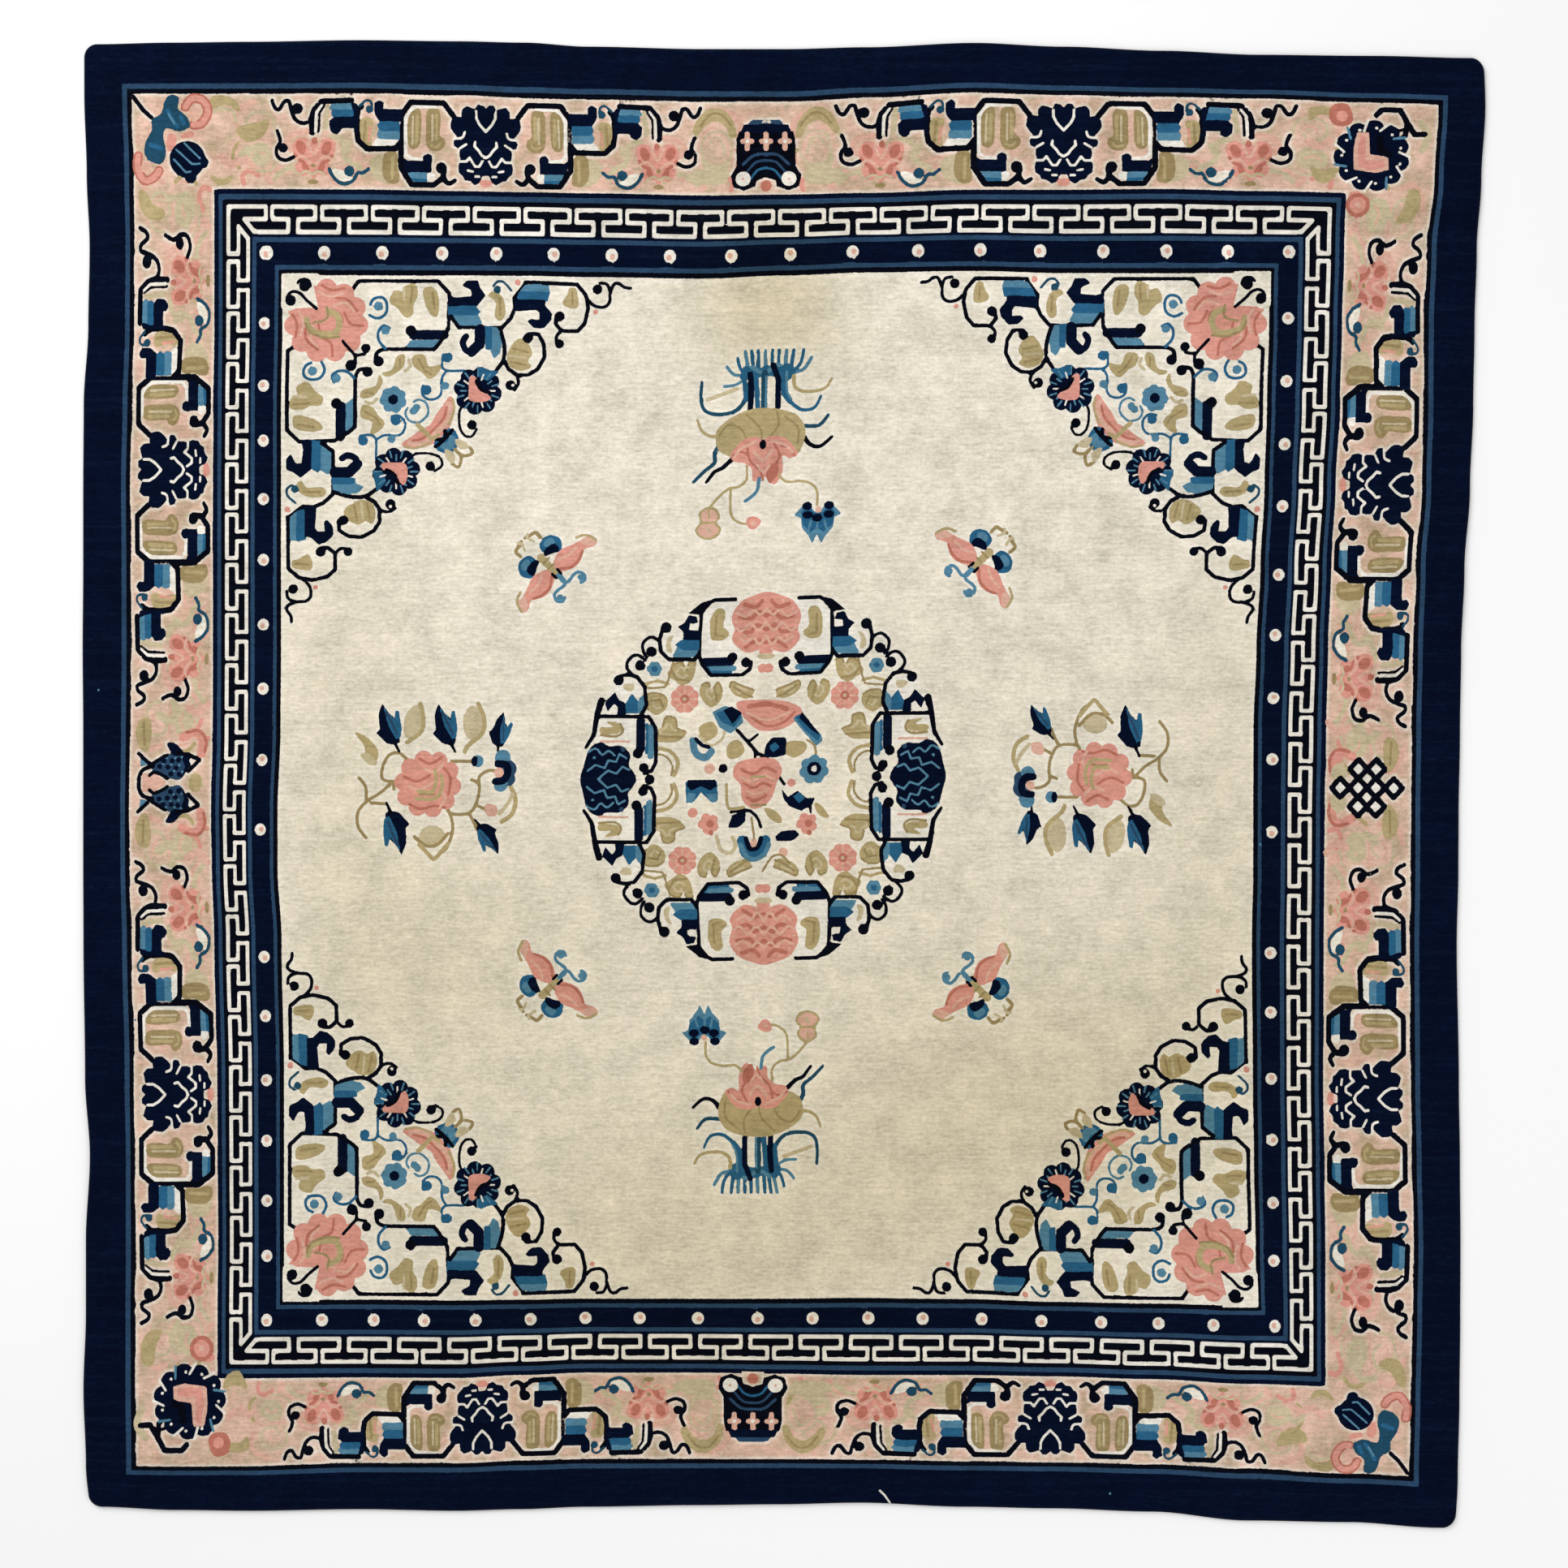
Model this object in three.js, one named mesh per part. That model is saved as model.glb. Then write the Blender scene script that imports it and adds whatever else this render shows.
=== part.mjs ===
// A Chinese art deco rug of hand-knotted wool, lying flat. Millimetres, +Z up.
// X runs along the two shorter sides and Y along the two longer ones. The origin is at the
// middle of the rug's box, on the floor. Its four sides wander as a hand-woven rug's do, its
// corners are worn round, and a few low swells lift it here and there.
import * as THREE from 'three';

// Driving sizes
const BOX_WIDTH = 2595; // between the outermost points of the two longer sides
const BOX_LENGTH = 2752; // between the outermost points of the two shorter sides
const FOUNDATION = 3; // cotton warps and wefts, under the pile
const PILE = 8; // wool pile above the foundation
const CORNER_RADIUS = 24;
const RIM_HEIGHT = 5; // height of the upright part of the edge
const RIM_STEPS = [
  { inset: 0, share: 0 }, // share of the way from the rim's height to the full height
  { inset: 4, share: 0.7 },
  { inset: 11, share: 1 },
];
const CELLS_ACROSS = 36;
const CELLS_ALONG = 38;

// The nominal chart that the sides depart from, measured from the middle of the design
const CHART_HALF_WIDTH = 1290;
const CHART_HALF_LENGTH = 1335;
const CHART_CENTRE = { x: -26, y: -7 };

// How far each of the longer sides lies inside the box, down the rug
const LONG_SIDES = [
  { y: 1375, left: 3, right: 4.5 },
  { y: 1240, left: 3, right: 0 },
  { y: 1105, left: 7.5, right: 7.5 },
  { y: 985, left: 13, right: 16 },
  { y: 850, left: 10.5, right: 20 },
  { y: 700, left: 2, right: 22.5 },
  { y: 550, left: 1, right: 28.5 },
  { y: 400, left: 1, right: 39 },
  { y: 250, left: 0, right: 45 },
  { y: 100, left: 1, right: 47 },
  { y: -50, left: 1, right: 49.5 },
  { y: -155, left: 1, right: 50 },
  { y: -290, left: 1.5, right: 53 },
  { y: -545, left: 4.5, right: 49 },
  { y: -690, left: 13.5, right: 47 },
  { y: -845, left: 6, right: 46 },
  { y: -980, left: 6, right: 46.5 },
  { y: -1115, left: 1.5, right: 48 },
  { y: -1250, left: 6, right: 51 },
  { y: -1375, left: 15, right: 57 },
];

// How far each of the shorter sides lies inside the box, across the rug
const SHORT_SIDES = [
  { x: -1297, top: 7.5, bottom: 39 },
  { x: -1150, top: 4.5, bottom: 33 },
  { x: -1000, top: 3, bottom: 31.5 },
  { x: -790, top: 0, bottom: 34.5 },
  { x: -610, top: 2, bottom: 31.5 },
  { x: -490, top: 4.5, bottom: 34.5 },
  { x: -370, top: 12, bottom: 39 },
  { x: -160, top: 16.5, bottom: 42 },
  { x: -10, top: 16.5, bottom: 43.5 },
  { x: 140, top: 13, bottom: 46.5 },
  { x: 335, top: 5, bottom: 39 },
  { x: 500, top: 12, bottom: 36 },
  { x: 680, top: 19.5, bottom: 30 },
  { x: 860, top: 27, bottom: 13.5 },
  { x: 1060, top: 29, bottom: 10.5 },
  { x: 1235, top: 33, bottom: 0 },
  { x: 1297, top: 37.5, bottom: 0 },
];

// Low swells: middle, half length and half width, turn from +X in degrees, and rise
const SWELLS = [
  { x: -1180, y: 985, long: 230, wide: 130, turn: 80, rise: 4 },
  { x: -1190, y: -690, long: 240, wide: 120, turn: 95, rise: 5 },
  { x: 380, y: -780, long: 330, wide: 110, turn: 62, rise: 4 },
  { x: -70, y: -880, long: 300, wide: 90, turn: 66, rise: 3 },
  { x: -260, y: 1250, long: 330, wide: 120, turn: 4, rise: 4 },
  { x: 330, y: 1230, long: 260, wide: 120, turn: -6, rise: 4 },
  { x: 1190, y: 430, long: 330, wide: 110, turn: 96, rise: 4 },
  { x: 900, y: -1240, long: 300, wide: 110, turn: -5, rise: 4 },
];

// Eased interpolation in a table's column: flat at each row, so it never overshoots
function readColumn(rows, place, column, at) {
  const step = rows[1][place] > rows[0][place] ? 1 : -1;
  const last = rows.length - 2;
  let row = 0;
  while (row < last && step * (at - rows[row + 1][place]) > 0) row += 1;
  const from = rows[row];
  const to = rows[row + 1];
  const raw = (at - from[place]) / (to[place] - from[place]);
  const t = THREE.MathUtils.smoothstep(raw, 0, 1);
  return THREE.MathUtils.lerp(from[column], to[column], t);
}

// A square corner block becomes a quarter disc: each square ring goes onto a round one
function roundCorner(u, v) {
  const du = Math.abs(u) - (CHART_HALF_WIDTH - CORNER_RADIUS);
  const dv = Math.abs(v) - (CHART_HALF_LENGTH - CORNER_RADIUS);
  if (du <= 0 || dv <= 0) return [u, v];
  const pull = Math.max(du, dv) / Math.hypot(du, dv);
  const back = 1 - pull;
  return [u - Math.sign(u) * du * back, v - Math.sign(v) * dv * back];
}

// Where a point of the chart lies on the floor
function lay(uSquare, vSquare) {
  const [u, v] = roundCorner(uSquare, vSquare);
  const alongY = v + CHART_CENTRE.y;
  const alongX = u + CHART_CENTRE.x;
  const left = -BOX_WIDTH / 2 + readColumn(LONG_SIDES, 'y', 'left', alongY);
  const right = BOX_WIDTH / 2 - readColumn(LONG_SIDES, 'y', 'right', alongY);
  const top = BOX_LENGTH / 2 - readColumn(SHORT_SIDES, 'x', 'top', alongX);
  const bottom = -BOX_LENGTH / 2 + readColumn(SHORT_SIDES, 'x', 'bottom', alongX);
  return {
    x: THREE.MathUtils.mapLinear(u, -CHART_HALF_WIDTH, CHART_HALF_WIDTH, left, right),
    y: THREE.MathUtils.mapLinear(v, -CHART_HALF_LENGTH, CHART_HALF_LENGTH, bottom, top),
  };
}

// How far the swells lift the rug off the floor at a point
function liftAt(x, y) {
  let lift = 0;
  for (const swell of SWELLS) {
    const turn = THREE.MathUtils.degToRad(swell.turn);
    const dx = x - swell.x;
    const dy = y - swell.y;
    const along = (dx * Math.cos(turn) + dy * Math.sin(turn)) / swell.long;
    const across = (dy * Math.cos(turn) - dx * Math.sin(turn)) / swell.wide;
    const q = along * along + across * across;
    if (q < 1) lift += swell.rise * (1 - q) * (1 - q);
  }
  return lift;
}

// Grid lines from one edge to the other: the rim's rows at both ends, even cells between
function gridLines(half, cells) {
  const inner = half - RIM_STEPS.at(-1).inset;
  const lines = [];
  for (const { inset, share } of RIM_STEPS) lines.push({ at: inset - half, share });
  for (let i = 1; i < cells; i += 1) {
    lines.push({ at: THREE.MathUtils.lerp(-inner, inner, i / cells), share: 1 });
  }
  for (const { inset, share } of [...RIM_STEPS].reverse()) lines.push({ at: half - inset, share });
  return lines;
}

// One closed sheet: a top grid, a bottom grid, and an upright wall round the edge
function rugGeometry() {
  const across = gridLines(CHART_HALF_WIDTH, CELLS_ACROSS);
  const along = gridLines(CHART_HALF_LENGTH, CELLS_ALONG);
  const columns = across.length;
  const rows = along.length;
  const positions = [];
  const indices = [];
  const crown = FOUNDATION + PILE - RIM_HEIGHT;
  for (const isTop of [true, false]) {
    for (const row of along) {
      for (const column of across) {
        const { x, y } = lay(column.at, row.at);
        const share = Math.min(column.share, row.share);
        const height = isTop ? RIM_HEIGHT + crown * share : 0;
        positions.push(x, y, liftAt(x, y) + height);
      }
    }
  }
  const bottomStart = rows * columns;
  const vertex = (row, column) => row * columns + column;
  const addQuad = (a, b, c, d) => indices.push(a, b, c, a, c, d);
  for (let row = 0; row < rows - 1; row += 1) {
    for (let column = 0; column < columns - 1; column += 1) {
      const a = vertex(row, column);
      const b = vertex(row, column + 1);
      const c = vertex(row + 1, column + 1);
      const d = vertex(row + 1, column);
      addQuad(a, b, c, d);
      addQuad(d + bottomStart, c + bottomStart, b + bottomStart, a + bottomStart);
    }
  }
  const edge = [];
  for (let column = 0; column < columns - 1; column += 1) edge.push(vertex(0, column));
  for (let row = 0; row < rows - 1; row += 1) edge.push(vertex(row, columns - 1));
  for (let column = columns - 1; column > 0; column -= 1) edge.push(vertex(rows - 1, column));
  for (let row = rows - 1; row > 0; row -= 1) edge.push(vertex(row, 0));
  edge.forEach((here, i) => {
    const next = edge[(i + 1) % edge.length];
    addQuad(here + bottomStart, next + bottomStart, next, here);
  });
  const geometry = new THREE.BufferGeometry();
  geometry.setAttribute('position', new THREE.Float32BufferAttribute(positions, 3));
  geometry.setIndex(indices);
  geometry.computeVertexNormals();
  return geometry;
}

const wool = new THREE.MeshStandardMaterial({ color: 0xd8ccae, roughness: 0.95, metalness: 0 });

const rug = new THREE.Mesh(rugGeometry(), wool);
rug.name = 'rug';

const model = new THREE.Group();
model.add(rug);

export default model;
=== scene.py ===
"""A hand-knotted wool rug in the Chinese art deco manner, laid flat and seen from straight above.

The pile's design is drawn here as a knotting chart. One square of the chart is a millimetre and a
half of rug. Every shape is painted in one dyed yarn, and for each yarn the chart keeps how deep
inside that yarn's own patches a point lies (squares, negative outside). The pile's meshes carry
those depths at their corners, closely set where the drawing is fine and widely where it is plain,
and the wool's shader gives each point the yarn that it lies deepest in.
"""
import logging
import math
from collections.abc import Callable, Iterator
from dataclasses import dataclass
from enum import Enum
from typing import NamedTuple

import bpy
import numpy as np
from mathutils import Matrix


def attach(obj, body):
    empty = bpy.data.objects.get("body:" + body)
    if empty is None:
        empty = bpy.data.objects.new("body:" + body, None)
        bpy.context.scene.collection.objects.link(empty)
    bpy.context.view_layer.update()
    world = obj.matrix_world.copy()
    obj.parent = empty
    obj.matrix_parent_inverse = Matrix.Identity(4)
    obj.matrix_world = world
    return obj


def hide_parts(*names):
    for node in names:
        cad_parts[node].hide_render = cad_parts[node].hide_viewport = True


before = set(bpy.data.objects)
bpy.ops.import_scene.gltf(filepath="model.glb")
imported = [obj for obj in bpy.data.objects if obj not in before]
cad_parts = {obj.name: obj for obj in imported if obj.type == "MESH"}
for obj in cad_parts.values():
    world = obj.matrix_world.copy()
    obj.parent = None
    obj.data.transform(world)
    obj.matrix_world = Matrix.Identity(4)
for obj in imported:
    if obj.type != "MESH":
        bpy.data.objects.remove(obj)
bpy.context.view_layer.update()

LOG = logging.getLogger("rug")

Array = np.ndarray
Value = "Wire | float"

SQUARE = 1.5  # millimetres of rug to a square of the chart
METRE = 0.001  # metres to a millimetre
BOX_WIDTH = 2595.0  # millimetres, between the outermost points of the two longer sides
BOX_LENGTH = 2752.0
FOUNDATION = 3.0  # cotton warps and wefts, under the pile
PILE = 8.0
RIM_HEIGHT = 5.0  # upright part of the edge
RIM_WIDTH = 11.0  # from the edge to the full height of the pile
CORNER_RADIUS = 24.0
DESIGN_CENTRE = (-26.0, -7.0)  # millimetres from the middle of the box

HALF_U = 860.0  # squares, from the middle of the design to its edges
HALF_V = 890.0
REACH = 12.0  # squares, the greatest depth that the chart keeps
GROUND_U = 800.0  # squares, from the middle to the outer lines of the border's ground
GROUND_V = 830.0
INWARDS = 0.914  # squares of chart to a drawn square, across the border


class Yarn(Enum):
    """The dyed yarns of the pile, by their place among the depths, with their colours (linear)."""

    FIELD = (0, (0.760, 0.695, 0.570))
    PEACH = (1, (0.700, 0.465, 0.360))
    NAVY = (2, (0.0006, 0.0030, 0.0155))
    BLACK = (3, (0.0010, 0.0014, 0.0050))
    SLATE = (4, (0.021, 0.054, 0.108))
    BLUE = (5, (0.020, 0.105, 0.205))
    SKY = (6, (0.080, 0.205, 0.300))
    IVORY = (7, (0.780, 0.740, 0.660))
    PINK = (8, (0.640, 0.285, 0.225))
    ROSE = (9, (0.450, 0.155, 0.110))
    GOLD = (10, (0.415, 0.330, 0.165))
    OLIVE = (11, (0.305, 0.228, 0.105))
    TEAL = (12, (0.013, 0.060, 0.105))
    BLUSH = (13, (0.650, 0.385, 0.295))
    CELADON = (14, (0.520, 0.440, 0.280))

    @property
    def place(self) -> int:
        """The yarn's place among the depths."""
        return self.value[0]

    @property
    def colour(self) -> tuple[float, float, float]:
        """The yarn's colour."""
        return self.value[1]


class Station(NamedTuple):
    """How far the drawn lines of one side lie inside the box at one place along it, in millimetres."""

    at: float
    edge: float
    border_out: float
    border_in: float
    field: float


WEST = (
    Station(1375, 3, 91, 244.5, 372),
    Station(1240, 3, 92, 244.5, 372),
    Station(1105, 7.5, 96, 244.5, 372),
    Station(985, 13, 98, 244.5, 372),
    Station(850, 10.5, 97, 244.5, 370.5),
    Station(700, 2, 93, 243, 368),
    Station(550, 1, 90, 242, 368),
    Station(400, 1, 91, 242, 368),
    Station(250, 0, 91.5, 242, 368),
    Station(100, 1, 90, 241.5, 367),
    Station(-50, 1, 88, 238.5, 361.5),
    Station(-155, 1, 88.5, 240, 361.5),
    Station(-290, 1.5, 92, 244.5, 369),
    Station(-545, 4.5, 97.5, 250, 373.5),
    Station(-690, 13.5, 99, 251, 373.5),
    Station(-845, 6, 100, 252, 373.5),
    Station(-980, 6, 99, 250.5, 373.5),
    Station(-1115, 1.5, 100, 250.5, 373.5),
    Station(-1250, 6, 100.5, 250.5, 373.5),
    Station(-1375, 15, 100.5, 250.5, 373.5),
)
EAST = (
    Station(1375, 4.5, 84, 256.5, 399),
    Station(1240, 0, 88, 256.5, 399),
    Station(1105, 7.5, 96, 258, 399),
    Station(985, 16, 110, 262, 400),
    Station(850, 20, 115.5, 266, 401),
    Station(700, 22.5, 116, 270, 405),
    Station(550, 28.5, 120, 278, 409.5),
    Station(400, 39, 130.5, 286.5, 417),
    Station(250, 45, 135, 292, 424.5),
    Station(100, 47, 138, 295.5, 430),
    Station(-50, 49.5, 139.5, 298.5, 430.5),
    Station(-155, 50, 139.5, 299, 430.5),
    Station(-290, 53, 141, 300, 433),
    Station(-545, 49, 140, 301, 431),
    Station(-690, 47, 137, 299, 429),
    Station(-845, 46, 133.5, 297, 426),
    Station(-980, 46.5, 136, 297, 423),
    Station(-1115, 48, 139.5, 297, 423),
    Station(-1250, 51, 142.5, 297, 423),
    Station(-1375, 57, 144, 297, 423),
)
NORTH = (
    Station(-1297, 7.5, 100.5, 276, 436),
    Station(-1150, 4.5, 100.5, 276, 436),
    Station(-1000, 3, 100.5, 276, 436),
    Station(-790, 0, 100, 277, 436),
    Station(-610, 2, 104, 280, 436.5),
    Station(-490, 4.5, 109, 282, 437),
    Station(-370, 12, 112, 284, 439.5),
    Station(-160, 16.5, 116, 288, 442),
    Station(-10, 16.5, 116, 286.5, 436),
    Station(140, 13, 108, 283.5, 430.5),
    Station(335, 5, 99, 277.5, 428),
    Station(500, 12, 103.5, 277.5, 432),
    Station(680, 19.5, 106.5, 276, 432),
    Station(860, 27, 109.5, 280, 432),
    Station(1060, 29, 117, 284, 434),
    Station(1235, 33, 122, 286, 436),
    Station(1297, 37.5, 124.5, 286.5, 436.5),
)
SOUTH = (
    Station(-1297, 39, 115.5, 277.5, 423),
    Station(-1150, 33, 115, 277.5, 423),
    Station(-1000, 31.5, 115.5, 277.5, 423),
    Station(-790, 34.5, 121.5, 279, 423),
    Station(-610, 31.5, 121.5, 278, 421.5),
    Station(-490, 34.5, 126, 283.5, 423),
    Station(-370, 39, 129, 288, 425),
    Station(-160, 42, 129, 288, 424.5),
    Station(-10, 43.5, 129, 286, 424.5),
    Station(140, 46.5, 127.5, 283.5, 426),
    Station(335, 39, 124.5, 283.5, 424.5),
    Station(500, 36, 123, 281, 419),
    Station(680, 30, 119, 276, 415.5),
    Station(860, 13.5, 112, 267, 412),
    Station(1060, 10.5, 102, 261.5, 411),
    Station(1235, 0, 95, 257, 410),
    Station(1297, 0, 93, 256.5, 409.5),
)


class Swell(NamedTuple):
    """A low rise of the rug off the floor: middle, half sizes, turn from +X in degrees, and height."""

    x: float
    y: float
    long: float
    wide: float
    turn: float
    rise: float


SWELLS = (
    Swell(-1180, 985, 230, 130, 80, 4),
    Swell(-1190, -690, 240, 120, 95, 5),
    Swell(380, -780, 330, 110, 62, 4),
    Swell(-70, -880, 300, 90, 66, 3),
    Swell(-260, 1250, 330, 120, 4, 4),
    Swell(330, 1230, 260, 120, -6, 4),
    Swell(1190, 430, 330, 110, 96, 4),
    Swell(900, -1240, 300, 110, -5, 4),
)


@dataclass(frozen=True)
class Lie:
    """How the chart's straight squares lie on the floor, with the wander of the real rug's lines."""

    depths: tuple[float, ...] = (0, 60, 166, 258)  # of the drawn lines, squares from the edge
    west: tuple[Station, ...] = WEST
    east: tuple[Station, ...] = EAST
    north: tuple[Station, ...] = NORTH
    south: tuple[Station, ...] = SOUTH
    swells: tuple[Swell, ...] = SWELLS

    @staticmethod
    def read(stations: tuple[Station, ...], at: Array) -> Array:
        """Reads a side's insets, eased between stations: t becomes 3t^2 - 2t^3.

        Args:
            stations: the side's rows.
            at: where along the side, in millimetres.

        Returns:
            One row of four insets for each place.
        """
        rows = np.array(sorted(stations), np.float64)
        index = np.clip(np.searchsorted(rows[:, 0], at) - 1, 0, len(rows) - 2)
        low, high = rows[index], rows[index + 1]
        t = np.clip((at - low[:, 0]) / (high[:, 0] - low[:, 0]), 0, 1)[:, None]
        return low[:, 1:] + (high[:, 1:] - low[:, 1:]) * t * t * (3 - 2 * t)

    def lay(self, u: Array, v: Array) -> tuple[Array, Array]:
        """Lays chart points on the floor. Near a corner, each square ring first becomes a round one.

        Args:
            u: squares to the right of the design's middle.
            v: squares up from it.

        Returns:
            x and y in millimetres from the middle of the box.
        """
        du = np.abs(u) - (HALF_U - CORNER_RADIUS / SQUARE)
        dv = np.abs(v) - (HALF_V - CORNER_RADIUS / SQUARE)
        corner = (du > 0) & (dv > 0)
        back = np.where(corner, 1 - np.maximum(du, dv) / np.maximum(np.hypot(du, dv), 1e-9), 0)
        u = u - np.sign(u) * du * back
        v = v - np.sign(v) * dv * back
        along_x, along_y = u * SQUARE + DESIGN_CENTRE[0], v * SQUARE + DESIGN_CENTRE[1]
        x = self.span(u, HALF_U, BOX_WIDTH, self.read(self.west, along_y), self.read(self.east, along_y))
        y = self.span(v, HALF_V, BOX_LENGTH, self.read(self.south, along_x), self.read(self.north, along_x))
        return x, y

    def span(self, place: Array, half: float, box: float, low: Array, high: Array) -> Array:
        """Runs straight from each drawn line to the next across the rug.

        Args:
            place: squares from the design's middle, across the lines.
            half: the chart's half size.
            box: the size of the rug's box, in millimetres.
            low: insets of the four lines on the low side, a row for each place.
            high: the same on the high side.

        Returns:
            Millimetres from the middle of the box.
        """
        depths = np.array(self.depths, np.float64)
        lines = np.concatenate([depths - half, (half - depths)[::-1]])
        spots = np.concatenate([low - box / 2, (box / 2 - high)[:, ::-1]], axis=1)
        index = np.clip(np.searchsorted(lines, place) - 1, 0, len(lines) - 2)
        row = np.arange(len(place))
        start, end = spots[row, index], spots[row, index + 1]
        return start + (end - start) * (place - lines[index]) / (lines[index + 1] - lines[index])

    def lift(self, x: Array, y: Array) -> Array:
        """How far the swells raise the rug: each adds rise (1 - q)^2, q the squared share outwards."""
        total = np.zeros_like(x)
        for swell in self.swells:
            turn = math.radians(swell.turn)
            dx, dy = x - swell.x, y - swell.y
            along = (dx * math.cos(turn) + dy * math.sin(turn)) / swell.long
            across = (dy * math.cos(turn) - dx * math.sin(turn)) / swell.wide
            total += swell.rise * np.clip(1 - along**2 - across**2, 0, 1) ** 2
        return total


def points(text: str) -> Array:
    """Reads a drawn line of the chart, such as "0,0 12,5", as an array of x and y."""
    return np.array([pair.split(",") for pair in text.split()], np.float32)


def eased(knots: Array, closed: bool, parts: int = 4) -> Array:
    """Rounds a line through its points (Catmull-Rom: each span's slopes follow its neighbours).

    Args:
        knots: the points, with any further columns such as a width.
        closed: whether the last point joins the first.
        parts: steps to a span.

    Returns:
        The finer line.
    """
    ends = (knots[-1:], knots[:2]) if closed else (knots[:1], knots[-1:])
    run = np.concatenate([ends[0], knots, ends[1]])
    before, start, end, after = run[:-3], run[1:-2], run[2:-1], run[3:]
    t = (np.arange(parts, dtype=np.float32) / parts)[None, :, None]
    before, start, end, after = (part[:, None, :] for part in (before, start, end, after))
    curve = start + 0.5 * t * (
        end - before
        + t * (2 * before - 5 * start + 4 * end - after + t * (3 * (start - end) + after - before))
    )
    curve = curve.reshape(-1, knots.shape[1])
    return curve if closed else np.concatenate([curve, knots[-1:]])


def stroke_depth(x: Array, y: Array, knots: Array) -> Array:
    """Depth inside a line with round ends: the half width less the distance, greatest over its spans.

    Args:
        x: places to measure, to the right.
        y: places to measure, downwards.
        knots: rows of x, y and half width.

    Returns:
        The depths.
    """
    best = np.full(np.broadcast(x, y).shape, -1e3, np.float32)
    for (ax, ay, ar), (bx, by, br) in zip(knots[:-1], knots[1:]):
        dx, dy = bx - ax, by - ay
        t = np.clip(((x - ax) * dx + (y - ay) * dy) / max(dx * dx + dy * dy, 1e-6), 0, 1)
        away = np.hypot(x - ax - t * dx, y - ay - t * dy)
        np.maximum(best, ar + (br - ar) * t - away, out=best)
    return best


def area_depth(x: Array, y: Array, knots: Array) -> Array:
    """Depth inside a closed outline: the distance to it, negative outside (even-odd rule).

    Args:
        x: places to measure, to the right.
        y: places to measure, downwards.
        knots: rows of x and y.

    Returns:
        The depths.
    """
    shape = np.broadcast(x, y).shape
    nearest, inside = np.full(shape, 1e6, np.float32), np.zeros(shape, bool)
    for (ax, ay), (bx, by) in zip(knots, np.roll(knots, -1, axis=0)):
        dx, dy = bx - ax, by - ay
        t = np.clip(((x - ax) * dx + (y - ay) * dy) / max(dx * dx + dy * dy, 1e-6), 0, 1)
        np.minimum(nearest, (x - ax - t * dx) ** 2 + (y - ay - t * dy) ** 2, out=nearest)
        if dy:
            inside ^= ((ay <= y) != (by <= y)) & (x < ax + dx * (y - ay) / dy)
    return np.sqrt(nearest) * np.where(inside, 1, -1)


class Chart:
    """The knotting chart: for each yarn, the depth inside its patches at every lattice point."""

    ACROSS = 1728  # lattice steps, a little under a square each
    ALONG = 1776

    def __init__(self) -> None:
        """Starts with a rug that is navy all over."""
        self.u = np.linspace(-HALF_U, HALF_U, self.ACROSS + 1, dtype=np.float32)
        self.v = np.linspace(-HALF_V, HALF_V, self.ALONG + 1, dtype=np.float32)
        self.depth = np.full((len(Yarn), self.ALONG + 1, self.ACROSS + 1), -REACH, np.float32)
        self.depth[Yarn.NAVY.place] = REACH

    def paint(
        self, yarn: Yarn, shape: Callable[[Array, Array], Array], low: Array, high: Array
    ) -> None:
        """Paints a shape: its yarn keeps the greater depth, and every other yarn yields to it.

        Args:
            yarn: the yarn.
            shape: gives the depth inside the shape for u (a row) and v (a column).
            low: lowest u and v of the shape.
            high: highest u and v of the shape.
        """
        columns = slice(*np.searchsorted(self.u, (low[0] - REACH, high[0] + REACH)))
        rows = slice(*np.searchsorted(self.v, (low[1] - REACH, high[1] + REACH)))
        window = self.depth[:, rows, columns]
        if not window.size:
            return
        depth = np.clip(shape(self.u[None, columns], self.v[rows, None]), -REACH, REACH)
        own = np.maximum(window[yarn.place], depth)
        np.minimum(window, -depth, out=window)
        window[yarn.place] = own

    def band(self, yarn: Yarn, outer: float, inner: float) -> None:
        """Paints a frame of one yarn between two depths from the rug's edge."""
        def shape(u: Array, v: Array) -> Array:
            """The lesser of the distances to the frame's two lines."""
            inset = np.minimum(HALF_U - np.abs(u), HALF_V - np.abs(v))
            return np.minimum(inset - outer, inner - inset)

        corner = np.array((HALF_U, HALF_V))
        self.paint(yarn, shape, -corner, corner)


@dataclass(frozen=True)
class Spot:
    """Where a motif stands on the chart, and where its own right and down point there."""

    u: float
    v: float
    right: tuple[float, float] = (1.0, 0.0)
    down: tuple[float, float] = (0.0, -1.0)

    @property
    def axes(self) -> Array:
        """The two axes as the columns of a matrix."""
        return np.array((self.right, self.down), np.float64).T

    def mirrored(self) -> "Spot":
        """The same spot with the motif's left and right exchanged."""
        return Spot(self.u, self.v, (-self.right[0], -self.right[1]), self.down)

    def swapped(self) -> "Spot":
        """The same spot with the motif mirrored about its own diagonal."""
        return Spot(self.u, self.v, self.down, self.right)

    def moved(self, x: float, y: float) -> "Spot":
        """The spot that lies at x and y of this one, with the same axes."""
        du, dv = self.axes @ np.array((x, y))
        return Spot(self.u + du, self.v + dv, self.right, self.down)

    def turned(self, degrees: float, size: float = 1.0) -> "Spot":
        """The same spot with the motif turned clockwise and scaled."""
        c, s = size * math.cos(math.radians(degrees)), size * math.sin(math.radians(degrees))
        axes = self.axes @ np.array(((c, -s), (s, c)))
        return Spot(self.u, self.v, tuple(axes[:, 0]), tuple(axes[:, 1]))


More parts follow.
